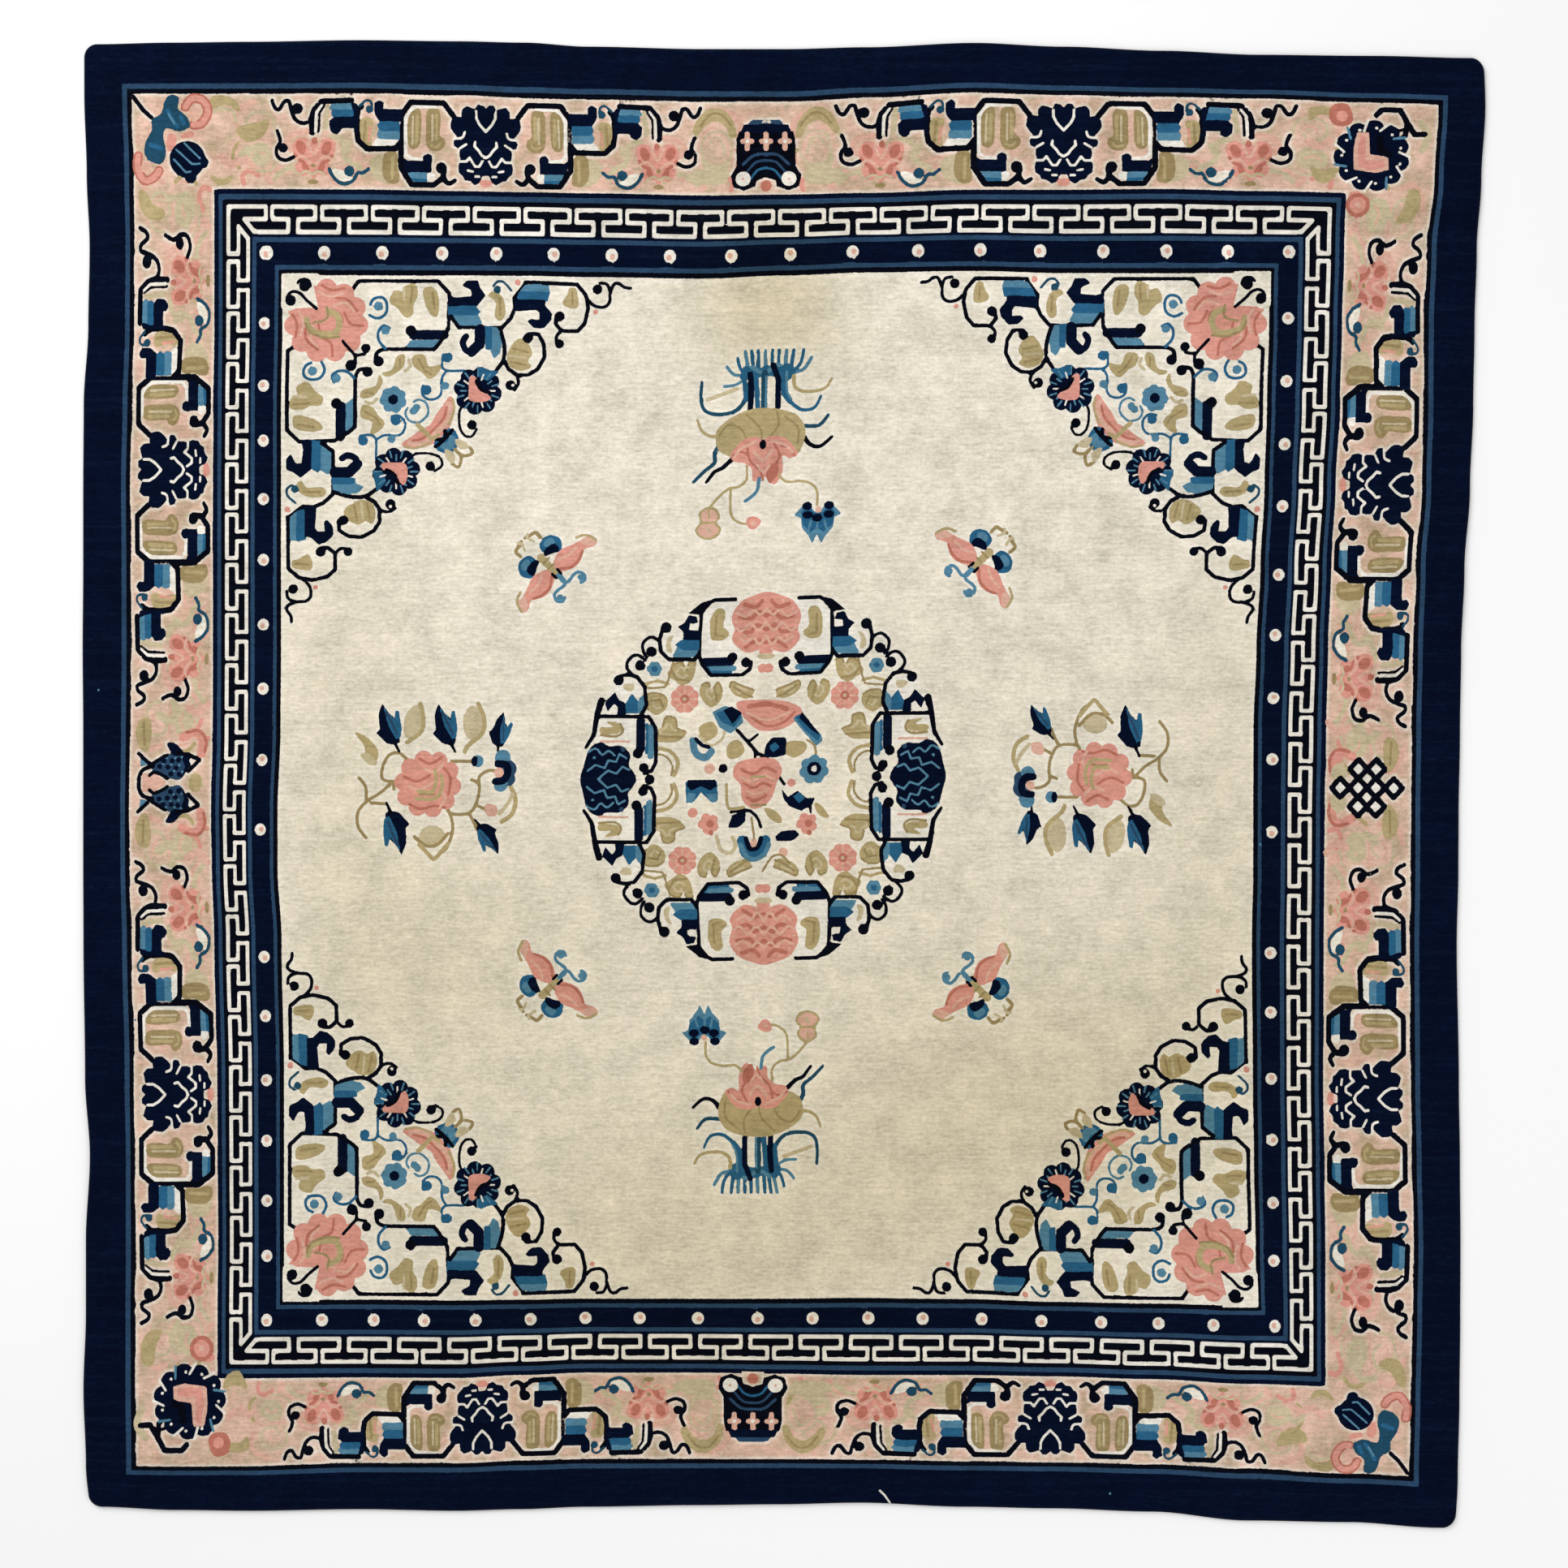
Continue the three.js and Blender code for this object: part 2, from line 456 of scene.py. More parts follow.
@dataclass(frozen=True)
class Brush:
    """Paints shapes given in a motif's own squares, x right and y down, at one or more spots."""

    chart: Chart
    spots: tuple[Spot, ...]

    def stamp(self, yarn: Yarn, knots: Array, margin: float, depth: Callable[..., Array]) -> None:
        """Paints one shape at every spot.

        Args:
            yarn: the yarn.
            knots: points that span the shape.
            margin: how far the shape reaches beyond them.
            depth: gives the depth inside the shape for x, y and knots.
        """
        low, high = knots[:, :2].min(0) - margin, knots[:, :2].max(0) + margin
        corners = np.array(((low[0], high[0], low[0], high[0]), (low[1], low[1], high[1], high[1])))
        for spot in self.spots:
            axes = spot.axes
            back = np.linalg.inv(axes).astype(np.float32)
            size = math.sqrt(abs(np.linalg.det(axes)))
            around = axes @ corners + np.array(((spot.u,), (spot.v,)))

            def shape(u: Array, v: Array) -> Array:
                """The depth at chart points, through the spot's own axes."""
                du, dv = u - np.float32(spot.u), v - np.float32(spot.v)
                x = back[0, 0] * du + back[0, 1] * dv
                y = back[1, 0] * du + back[1, 1] * dv
                return size * depth(x, y, knots)

            self.chart.paint(yarn, shape, around.min(1), around.max(1))

    def line(self, yarn: Yarn, width: float, *texts: str, end: float | None = None) -> None:
        """A straight-sided line through each text's points, of one width or tapering to another."""
        for text in texts:
            self.stroke(yarn, points(text), width, end)

    def bend(self, yarn: Yarn, width: float, *texts: str, end: float | None = None) -> None:
        """A curved line through each text's points, of one width or tapering to another."""
        for text in texts:
            self.stroke(yarn, eased(points(text), False), width, end)

    def spoke(
        self, yarn: Yarn, width: float, middle: tuple[float, float], angle: float, *ends: float
    ) -> None:
        """A straight line between two distances from a middle, at an angle from its right."""
        x, y = middle
        knots = [(x + reach * math.cos(angle), y + reach * math.sin(angle)) for reach in ends]
        self.stroke(yarn, np.array(knots, np.float32), width)

    def stroke(self, yarn: Yarn, knots: Array, width: float, end: float | None = None) -> None:
        """A line through knots whose half width runs evenly from the start's to the end's."""
        halves = np.linspace(width / 2, (width if end is None else end) / 2, len(knots))
        knots = np.column_stack([knots, halves.astype(np.float32)])
        self.stamp(yarn, knots, float(halves.max()), stroke_depth)

    def area(self, yarn: Yarn, *texts: str) -> None:
        """Patches with straight sides and corners."""
        for text in texts:
            self.stamp(yarn, points(text), 0.0, area_depth)

    def blob(self, yarn: Yarn, *texts: str) -> None:
        """Patches with a rounded outline."""
        for text in texts:
            self.stamp(yarn, eased(points(text), True), 1.0, area_depth)

    def dot(self, yarn: Yarn, x: float, y: float, radius: float) -> None:
        """A round patch."""
        self.stamp(yarn, np.array([(x, y, radius), (x, y, radius)], np.float32), radius, stroke_depth)

    def oval(self, yarn: Yarn, x: float, y: float, wide: float, tall: float, turn: float = 0) -> None:
        """An oval patch: its outline is a circle pulled to the two half sizes and turned clockwise."""
        angle = np.linspace(0, 2 * np.pi, 20, endpoint=False)
        c, s = math.cos(math.radians(turn)), math.sin(math.radians(turn))
        ring = np.column_stack([wide * np.cos(angle), tall * np.sin(angle)]) @ np.array([[c, s], [-s, c]])
        self.stamp(yarn, (ring + (x, y)).astype(np.float32), 0.0, area_depth)

    def scallop(
        self, yarn: Yarn, x: float, y: float, radius: float, lobes: int, lobe: float, turn: float = 0
    ) -> None:
        """A lobed patch: a disc inside a ring of round lobes.

        Args:
            yarn: the yarn.
            x: middle, to the right.
            y: middle, downwards.
            radius: of the whole patch.
            lobes: how many lobes stand round it.
            lobe: a lobe's own radius.
            turn: degrees from the right to the first lobe.
        """
        angle = np.linspace(0, 2 * np.pi, lobes, endpoint=False) + math.radians(turn)
        ring = np.column_stack([x + (radius - lobe) * np.cos(angle), y + (radius - lobe) * np.sin(angle)])
        knots = np.column_stack([ring, np.full(lobes, lobe)]).astype(np.float32)
        middle = np.float32(radius - lobe)

        def depth(px: Array, py: Array, rows: Array) -> Array:
            """The greatest of the depths in the lobes and in the disc."""
            best = middle - np.hypot(px - np.float32(x), py - np.float32(y))
            for lx, ly, size in rows:
                np.maximum(best, size - np.hypot(px - lx, py - ly), out=best)
            return best

        self.stamp(yarn, knots, lobe, depth)

    def curl(
        self, yarn: Yarn, ball: str, radius: float, width: float, text: str, eye: Yarn | None = None
    ) -> None:
        """A curved tendril with a ball in its coil.

        Args:
            yarn: the tendril's yarn.
            ball: the ball's place.
            radius: the ball's radius.
            width: the tendril's width.
            text: the tendril's points.
            eye: the ball's yarn, if another.
        """
        self.bend(yarn, width, text)
        x, y = points(ball)[0]
        self.dot(eye or yarn, x, y, radius)


@dataclass(frozen=True)
class FrameLines:
    """The plain lines and grounds that run right round the rug, from its edge inwards."""

    bands: tuple[tuple[Yarn, float], ...] = (
        (Yarn.NAVY, 48),
        (Yarn.SLATE, 54),
        (Yarn.BLACK, 60),
        (Yarn.PEACH, 166),
        (Yarn.NAVY, 171.5),
        (Yarn.SLATE, 177),
        (Yarn.BLACK, 213.5),
        (Yarn.NAVY, 217),
        (Yarn.SLATE, 222.5),
        (Yarn.NAVY, 247),
        (Yarn.SLATE, 252),
        (Yarn.BLACK, 258),
        (Yarn.FIELD, 900),
    )

    def draw(self, chart: Chart) -> None:
        """Paints each band from the last one's inner line to its own."""
        outer = -REACH
        for yarn, inner in self.bands:
            chart.band(yarn, outer, inner)
            outer = inner


@dataclass(frozen=True)
class KeyFret:
    """The key pattern: hooked ivory bars on black, mirror-alike from corner to corner."""

    depth: float = 184.9  # of the outer rail's middle
    level: float = 13.2  # from rail to rail
    thread: float = 4.9
    arm: float = 50.0  # of the corner's outer rail
    gap: float = 8.5
    bar: float = 54.0  # share of a repeat that a bar takes, in squares at the nominal repeat
    repeat: float = 62.5
    mitre: float = 21.0  # where the middle rail meets the corner's slanting line

    def draw(self, chart: Chart) -> None:
        """Paints the four sides, each in its own squares from one corner to the next."""
        across, along = HALF_U - self.depth, HALF_V - self.depth
        sides = (
            (Spot(-across, along), 2 * across),
            (Spot(across, -along, (-1, 0), (0, 1)), 2 * across),
            (Spot(-across, -along, (0, 1), (1, 0)), 2 * along),
            (Spot(across, along, (0, -1), (-1, 0)), 2 * along),
        )
        for spot, length in sides:
            self.side(Brush(chart, (spot,)), length)
            end = Spot(*(np.array((spot.u, spot.v)) + length * np.array(spot.right)),
                       (-spot.right[0], -spot.right[1]), spot.down)
            self.corner(Brush(chart, (spot, end)))

    def corner(self, brush: Brush) -> None:
        """One arm of a corner: outer rail, hook back to the mitre, slanting line to the inner rail."""
        knots = np.array(
            [(0, 0), (self.arm, 0), (self.arm, self.level), (self.mitre, self.level),
             (self.mitre + self.level, 2 * self.level), (self.mitre + 2.4 * self.level, 2 * self.level)],
            np.float32)
        brush.stroke(Yarn.IVORY, knots, self.thread)

    def side(self, brush: Brush, length: float) -> None:
        """The repeats between two corners.

        Args:
            brush: stands at a corner, its right along the side.
            length: from corner to corner.
        """
        room = length - 2 * self.arm - self.gap
        count = round(room / self.repeat)
        step = room / count
        bar = self.bar * step / self.repeat
        hook = (self.bar - 33.0) * step / self.repeat
        for index in range(count):
            start = self.arm + self.gap + index * step
            outer = [(start + hook, self.level), (start, self.level), (start, 0), (start + bar, 0),
                     (start + bar, self.level), (start + bar - hook, self.level)]
            brush.stroke(Yarn.IVORY, np.array(outer, np.float32), self.thread)
        for index in range(count + 1):
            start = self.arm - hook + index * step
            end = self.arm + self.gap + hook + index * step
            inner = [(start, self.level), (start, 2 * self.level), (end, 2 * self.level), (end, self.level)]
            if index == 0:
                inner[:2] = [(self.mitre + self.level, 2 * self.level)]
            if index == count:
                inner[-2:] = [(length - self.mitre - self.level, 2 * self.level)]
            brush.stroke(Yarn.IVORY, np.array(inner, np.float32), self.thread)


@dataclass(frozen=True)
class PearlBand:
    """The navy band of ivory pearls, each with a faint rosy middle set a little off its centre."""

    depth: float = 234.0
    radius: float = 7.6
    heart: float = 3.4
    north: str = "-623 -552 -481 -408 -342 -272 -201 -130 -55 17 93 173 249 322 399 476 551 626"
    south: str = "-626 -555 -491 -429 -365 -297 -229 -162 -90 -16 52 121 188 261 335 409 480 548 626"
    west: str = "656 573 496 428 356 281 201 122 34 -52 -209 -282 -361 -436 -510 -578 -656"
    east: str = "656 577 500 423 347 263 189 112 37 -52 -200 -273 -354 -429 -506 -577 -656"

    def draw(self, chart: Chart) -> None:
        """Paints the pearls of the four sides."""
        across, along = HALF_U - self.depth, HALF_V - self.depth
        rows = (
            [(float(u), along) for u in self.north.split()]
            + [(float(u), -along) for u in self.south.split()]
            + [(-across, float(v)) for v in self.west.split()]
            + [(across, float(v)) for v in self.east.split()]
        )
        for index, (u, v) in enumerate(rows):
            brush = Brush(chart, (Spot(u, v),))
            lean = math.radians(70 * index)
            brush.dot(Yarn.IVORY, 0, 0, self.radius)
            brush.dot(Yarn.BLUSH, 1.6 * math.cos(lean), 1.6 * math.sin(lean), self.heart)


@dataclass(frozen=True)
class BorderUnit:
    """A border ornament: a navy peony between two bracketed arms. Its x runs along the border from
    the peony's middle, and its y inwards from the outer line of the ground.
    """

    def halves(self) -> list[Spot]:
        """Both halves of the eight ornaments: the place, the way ahead, the way in, and how long the arm
        ahead and the arm behind are woven.
        """
        east, north, south, west = (1, 0), (0, 1), (0, -INWARDS), (-INWARDS, 0)
        down_to_up, left_to_right = (0, INWARDS), (INWARDS, 0)
        places = (
            (-355, GROUND_V, east, south, 0.985, 0.985),
            (350, GROUND_V, east, south, 1.065, 1.045),
            (-357, -GROUND_V, east, down_to_up, 0.965, 0.92),
            (346, -GROUND_V, east, down_to_up, 1.0, 1.015),
            (-GROUND_U, 392, north, left_to_right, 1.09, 1.09),
            (-GROUND_U, -379, north, left_to_right, 1.08, 1.055),
            (GROUND_U, 374, north, west, 1.14, 1.11),
            (GROUND_U, -378, north, west, 1.08, 1.085),
        )
        return [
            Spot(u, v, (along[0] * reach, along[1] * reach), inwards)
            for u, v, along, inwards, ahead, behind in places
            for reach in (ahead, -behind)
        ]

    def draw(self, chart: Chart) -> None:
        """Paints every unit, all halves at once."""
        brush = Brush(chart, tuple(self.halves()))
        self.ribbons(brush)
        self.bracket(brush)
        self.second_block(brush)
        self.third_block(brush)
        self.flower(brush)
        self.curls(brush)
        self.peony(brush)

    def ribbons(self, brush: Brush) -> None:
        """The pale scrolls and leaves that fill the ground beyond the brackets."""
        brush.blob(Yarn.CELADON, "110,76 138,76 144,90 136,104 112,108")
        brush.bend(Yarn.CELADON, 7, "168,60 176,68 172,80 158,88 152,98")
        brush.bend(Yarn.BLUSH, 8, "222,46 240,50 246,60 240,68")
        brush.bend(Yarn.BLUSH, 7, "180,90 190,100 186,108")
        brush.bend(Yarn.CELADON, 6, "238,90 252,94 262,104")
        brush.blob(Yarn.OLIVE, "110,71 124,71 128,84 127,100 119,108 108,107 107,96 110,88")
        brush.line(Yarn.GOLD, 4, "115,77 116,102")

    def bracket(self, brush: Brush) -> None:
        """The eight-sided bracket with its ribbed fills, navy bar and blue shading."""
        brush.area(Yarn.PEACH, "39,26 52,9 93,9 105,25 105,89 92,109 62,108 52,99 46,90")
        brush.line(Yarn.IVORY, 4, "62,14 88,14 99,28 99,72 93,77 77,78")
        brush.blob(Yarn.OLIVE, "57,18 66,16 73,20 74,40 74,58 68,67 57,67 50,60 51,53 57,48 56,34")
        brush.line(Yarn.GOLD, 4, "61,24 61,52")
        brush.bend(Yarn.GOLD, 3, "56,58 61,63 68,61")
        brush.line(Yarn.CELADON, 2.6, "66,24 66,56")
        brush.blob(Yarn.OLIVE, "81,18 90,19 96,30 96,60 89,66 82,60 80,40")
        brush.line(Yarn.GOLD, 4, "85,26 86,58")
        brush.line(Yarn.CELADON, 2.6, "90,26 91,60")
        brush.area(Yarn.IVORY, "62,96 74,92 74,106 64,102")
        brush.area(Yarn.SKY, "73,90 98,90 94,104 84,107 72,106")
        brush.line(Yarn.BLUE, 4, "74,104 92,103")
        brush.area(Yarn.NAVY, "67,78 67,94 100,94 103,76 97,80 77,80")
        brush.dot(Yarn.NAVY, 72, 77, 6)
        brush.line(Yarn.BLACK, 7, "39,26 52,9 93,9 105,26 105,89 92,109 64,109 53,100 51,90")
        brush.dot(Yarn.BLACK, 55, 88, 7)
        brush.bend(Yarn.BLACK, 7, "53,100 46,107 38,103", end=5)

    def second_block(self, brush: Brush) -> None:
        """The navy bar with its upright hook, and the blue, pale and golden bars under it."""
        brush.area(Yarn.PEACH, "106,14 156,14 160,46 158,58 147,67 112,66 106,60")
        brush.area(Yarn.IVORY, "108,54 136,54 139,62 134,65 112,65")
        brush.area(Yarn.SKY, "107,42 132,42 135,48 133,55 107,55")
        brush.area(Yarn.BLUE, "107,31 129,31 135,38 130,45 107,45")
        brush.area(Yarn.NAVY, "103,18 127,18 126,11 131,7 138,11 138,24 132,33 103,33")
        brush.blob(Yarn.GOLD, "139,32 148,28 156,34 157,54 150,63 141,62 142,46")
        brush.line(Yarn.PINK, 2.6, "143,40 145,58")
        brush.line(Yarn.OLIVE, 3.4, "149,33 151,58")
        brush.line(Yarn.BLACK, 7, "105,58 112,66 147,67 158,57 160,44 159,22 154,15")
        brush.curl(Yarn.TEAL, "144,19", 4.8, 3.2, "141,18 142,10 148,8 156,15")

    def third_block(self, brush: Brush) -> None:
        """Blue over a hooked navy bar, under a black arch with a second line inside it."""
        brush.area(Yarn.PEACH, "164,10 203,10 214,22 214,46 190,46 190,12")
        brush.line(Yarn.CELADON, 6, "196,16 199,42")
        brush.area(Yarn.SKY, "166,11 190,11 194,18 190,21 164,21")
        brush.area(Yarn.BLUE, "162,19 190,19 192,25 188,30 162,30")
        brush.area(Yarn.NAVY,
            "159,13 168,8 164,22 163,28 187,28 194,33 193,44 186,50 179,46 180,42 163,42 159,51")
        brush.line(Yarn.BLACK, 7, "166,8 203,9 213,20 216,31 215,48")
        brush.line(Yarn.BLACK, 3, "200,14 206,24 207,47")
        brush.line(Yarn.IVORY, 3, "203,14 210,23 211,46")

    def flower(self, brush: Brush) -> None:
        """The small rose blossom that ends each arm: two broad petals over a fringe of small ones."""
        brush.blob(Yarn.PINK, "186,62 192,54 202,55 207,60 211,51 216,60 222,54 233,54 239,62 238,72"
                              " 230,79 236,88 228,100 218,98 214,106 208,98 198,100 192,90 198,80"
                              " 188,73")
        brush.oval(Yarn.ROSE, 197, 66, 6, 9, -25)
        brush.oval(Yarn.ROSE, 229, 65, 6, 9, 25)
        brush.bend(Yarn.ROSE, 4, "190,75 196,82 202,84 206,92", "237,74 230,81 225,84 220,92")
        brush.oval(Yarn.ROSE, 212, 57, 3.6, 4.6)
        brush.bend(Yarn.BLUSH, 3, "205,59 210,70 213,74 217,68 221,58",
            "190,80 200,76 207,82 213,88 220,81 228,76 236,80")
        brush.oval(Yarn.ROSE, 203, 90, 3.6, 6, -20)
        brush.oval(Yarn.ROSE, 224, 89, 3.6, 6, 20)
        brush.bend(Yarn.CELADON, 3, "200,98 208,94 214,98 222,94 229,97")
        brush.oval(Yarn.OLIVE, 214, 87, 3, 2.4)
        brush.oval(Yarn.OLIVE, 214, 107, 7, 3)

    def curls(self, brush: Brush) -> None:
        """The black and blue tendrils round the arm's end."""
        brush.curl(Yarn.BLACK, "233,18", 6.8, 5, "215,32 226,36 236,31 241,19 244,9 250,10 256,19"
                                                 " 262,17 266,8")
        brush.curl(Yarn.BLACK, "251,66", 6, 4.8, "238,77 248,81 258,77 260,67 255,59 256,52 259,45")
        brush.blob(Yarn.FIELD, "163,103 176,106 187,100 190,91 178,93 172,99")
        brush.curl(Yarn.TEAL, "169,94", 6.4, 4.2, "145,91 152,96 159,96 165,106 178,109 188,102 194,91")

    def peony(self, brush: Brush) -> None:
        """The navy peony with its ivory V, arcs and lobes."""
        brush.blob(Yarn.PINK, "-8,103 8,103 5,110 -5,110")
        brush.area(Yarn.NAVY, "-2,18 4,10 10,10 13,16 18,14 25,12 30,18 30,26 37,25 43,30 44,38 40,45"
                              " 35,50 40,56 39,62 32,65 33,72 31,79 34,86 33,95 28,98 26,103 19,104"
                              " 14,109 7,105 4,97 -2,97")
        brush.line(Yarn.IVORY, 3.2, "12,18 12,26 8,34 0,43")
        brush.bend(Yarn.IVORY, 3, "26,44 29,51 39,52")
        brush.line(Yarn.IVORY, 3, "24,59 32,64")
        brush.line(Yarn.IVORY, 3.2, "0,75 5,72 9,66 14,61 13,56")
        brush.line(Yarn.IVORY, 3, "4,79 8,86 13,86 17,80 20,75 24,80 32,80", "16,92 22,91", "8,98 13,98")


@dataclass(frozen=True)
class CornerSpray:
    """The bracketed ornament of a field corner. Its x and y run from the corner along both lines,
    and all but the peony's own details are mirrored about the diagonal.
    """

    across: float = 602.0
    along: float = 632.0

    def draw(self, chart: Chart) -> None:
        """Paints the four corners."""
        corners = tuple(
            Spot(side * self.across, end * self.along, (-side * 0.992, 0), (0, -end))
            for side in (-1, 1)
            for end in (1, -1)
        )
        arms = Brush(chart, corners + tuple(corner.swapped() for corner in corners))
        middle = Brush(chart, corners)
        self.leaves(arms)
        self.first_bracket(arms)
        self.hooked_bar(arms)
        self.second_bracket(arms)
        self.lower_row(arms)
        self.blue_flowers(arms)
        self.butterfly(arms, middle)
        self.peony(arms, middle)

    def leaves(self, brush: Brush) -> None:
        """The golden leaves between the arms and the diagonal."""
        brush.blob(Yarn.GOLD, "123,120 136,116 141,100 151,98 150,112 140,121 130,125",
            "160,100 175,98 181,112 196,110 192,121 182,128 172,119 163,113")
        brush.line(Yarn.OLIVE, 2.6, "145,103 146,114", "168,103 176,117 184,122")
        brush.bend(Yarn.CELADON, 4, "152,118 158,112 156,104")

    def first_bracket(self, brush: Brush) -> None:
        """The long bracket by the peony, with two blue curls, ribbed fills and a navy bar."""
        brush.blob(Yarn.GOLD,
            "132,27 138,18 148,20 152,12 164,11 166,26 161,36 161,48 151,52 141,40 133,35")
        brush.line(Yarn.CELADON, 3.5, "149,15 150,30")
        brush.line(Yarn.OLIVE, 3, "159,15 158,34")
        brush.blob(Yarn.GOLD, "173,16 188,16 193,36 190,51 182,48 175,34")
        brush.line(Yarn.OLIVE, 3, "184,20 187,40")
        brush.area(Yarn.SKY, "151,89 158,80 197,79 190,90")
        brush.line(Yarn.NAVY, 12, "161,73 199,73")
        brush.dot(Yarn.BLACK, 158, 68, 6.8)
        brush.line(Yarn.BLACK, 5, "86,17 93,7 191,7 205,22 204,66 193,84 187,91 125,91")
        brush.curl(Yarn.BLACK, "119,106", 6.6, 5, "125,91 117,95 115,104")
        brush.curl(Yarn.BLUE, "118,38", 5.8, 3.6, "108,36 112,29 122,27 128,34 127,47 117,53 107,49",
                   Yarn.SKY)
        brush.curl(Yarn.BLUE, "127,68", 5.4, 3.6, "132,65 124,62 118,70 119,81 127,90", Yarn.SKY)

    def hooked_bar(self, brush: Brush) -> None:
        """The bar between the brackets: a navy hook over two blues, gold and a small pale curl."""
        brush.area(Yarn.SKY, "204,46 240,47 246,58 241,62 216,62 206,53")
        brush.area(Yarn.BLUE, "203,35 236,35 244,45 239,49 204,49")
        brush.area(Yarn.NAVY,
            "220,12 226,6 240,6 243,15 250,24 240,37 204,38 203,25 215,27 232,25 232,18 226,15")
        brush.blob(Yarn.GOLD, "253,25 258,19 267,22 273,32 274,48 268,56 261,50 262,32")
        brush.line(Yarn.OLIVE, 3, "267,28 268,48")
        brush.line(Yarn.BLACK, 5, "207,50 217,64 270,64 281,52 286,40 285,27 299,9")
        brush.curl(Yarn.TEAL, "264,17", 4.8, 3.2, "259,13 264,7 272,8 281,18")
        brush.dot(Yarn.PINK, 289, 8, 4)

    def second_bracket(self, brush: Brush) -> None:
        """The outer bracket with blues over a hooked navy bar, and the curls that end the arm."""
        brush.area(Yarn.SKY, "298,11 327,11 329,20 290,21")
        brush.area(Yarn.BLUE, "291,19 329,19 326,31 287,31")
        brush.area(Yarn.NAVY,
            "285,29 323,29 323,36 332,46 330,55 321,65 309,64 301,56 305,53 316,54 316,45 312,42 285,44")
        brush.blob(Yarn.GOLD, "344,33 350,22 352,14 361,15 364,36 355,39")
        brush.line(Yarn.OLIVE, 2.6, "356,18 357,34")
        brush.line(Yarn.BLACK, 5, "298,8 362,9 373,22 376,38 372,57 363,67 343,67 336,58 337,50")
        brush.dot(Yarn.BLACK, 341, 49, 6.4)
        brush.curl(Yarn.BLACK, "341,83", 5.8, 4.2, "343,67 337,74 338,82")
        brush.curl(Yarn.BLACK, "387,15", 6.2, 4.2, "375,27 383,35 395,37 402,31 403,20 407,9 413,7"
                                                   " 420,12 428,13")
        brush.bend(Yarn.BLACK, 4, "403,20 399,9 390,7")
        brush.dot(Yarn.PINK, 385, 43, 3.2)

    def lower_row(self, brush: Brush) -> None:
        """Under the arm: a navy coil, a blue leaf and a golden cup in a black line."""
        brush.area(Yarn.SKY, "249,62 267,64 271,80 268,96 261,102 256,92 250,92")
        brush.area(Yarn.BLUE, "249,62 258,63 258,90 250,92")
        brush.line(Yarn.NAVY, 13, "243,66 243,84 233,94")
        brush.bend(Yarn.NAVY, 8, "236,94 226,92 222,82 226,75")
        brush.bend(Yarn.BLACK, 5, "267,64 273,84 273,102 267,113 255,128")
        brush.blob(Yarn.GOLD, "277,98 284,83 293,77 304,86 308,96 303,105 307,112 296,117 281,112")
        brush.line(Yarn.OLIVE, 3, "284,90 302,94", "282,106 300,110")
        brush.line(Yarn.CELADON, 3, "280,99 300,101")
        brush.line(Yarn.BLACK, 5, "303,71 315,72 322,84 323,100 315,115 304,122 289,122 279,115 273,104")
        brush.dot(Yarn.BLACK, 302, 77, 6.2)
        brush.curl(Yarn.BLACK, "282,135", 6.4, 4.2, "289,122 292,132 287,141")
        brush.dot(Yarn.IVORY, 285, 135, 2)

    def blue_flowers(self, brush: Brush) -> None:
        """The navy chrysanthemum on its tendrils, and the fine blue curls by it."""
        brush.curl(Yarn.BLACK, "235,184", 6.2, 3.4, "229,156 220,166 220,186 226,197 235,198 241,189")
        brush.curl(Yarn.BLUE, "204,101", 6.2, 3.2, "198,97 197,110 203,117 226,117")
        brush.curl(Yarn.BLUE, "179,141", 6.2, 3.2, "203,117 197,128 197,145 190,152 180,152 173,145"
                                                   " 174,136")
        brush.curl(Yarn.SKY, "202,136", 5, 3, "197,142 200,138")
        brush.curl(Yarn.SKY, "167,163", 4.8, 3, "163,156 170,153 179,158 181,170 174,179")
        brush.scallop(Yarn.NAVY, 242, 142, 30, 8, 10, 10)
        brush.area(Yarn.BLUE, "240,112 256,116 268,118 254,130 244,126")
        for index in range(20):
            angle = math.radians(18 * index)
            ends = (18, 27) if index % 2 else (14, 21)
            brush.spoke(Yarn.SKY if index % 4 else Yarn.IVORY, 2, (242, 142), angle, *ends)
        brush.blob(Yarn.PINK, "232,124 240,126 243,138 254,146 258,152 246,156 232,153 231,138")
        brush.bend(Yarn.BLACK, 5, "240,130 246,140 256,144")

    def butterfly(self, arms: Brush, middle: Brush) -> None:
        """The butterfly on the diagonal and the small blue flower before it."""
        arms.blob(Yarn.PINK, "209,148 214,166 206,190 191,201 180,197 188,176 199,160")
        arms.bend(Yarn.BLUSH, 6, "206,158 208,172 200,186 190,194")
        arms.bend(Yarn.ROSE, 3, "204,162 200,176 190,188")
        arms.bend(Yarn.GOLD, 3, "211,152 213,166 206,184")
        arms.blob(Yarn.BLUE, "203,190 213,190 220,204 214,216 204,213 198,203")
        arms.blob(Yarn.SKY, "209,196 216,202 212,212 205,208")
        arms.bend(Yarn.BLACK, 4.4, "211,190 202,201 191,202")
        arms.bend(Yarn.OLIVE, 4, "214,214 222,224 219,236 211,232")
        arms.blob(Yarn.CELADON, "202,214 214,220 212,232 204,226")
        middle.line(Yarn.GOLD, 6, "168,184 186,202 194,196", end=4)
        middle.scallop(Yarn.SKY, 138, 153, 17, 7, 6.5, 20)
        middle.dot(Yarn.NAVY, 138, 153, 6.4)

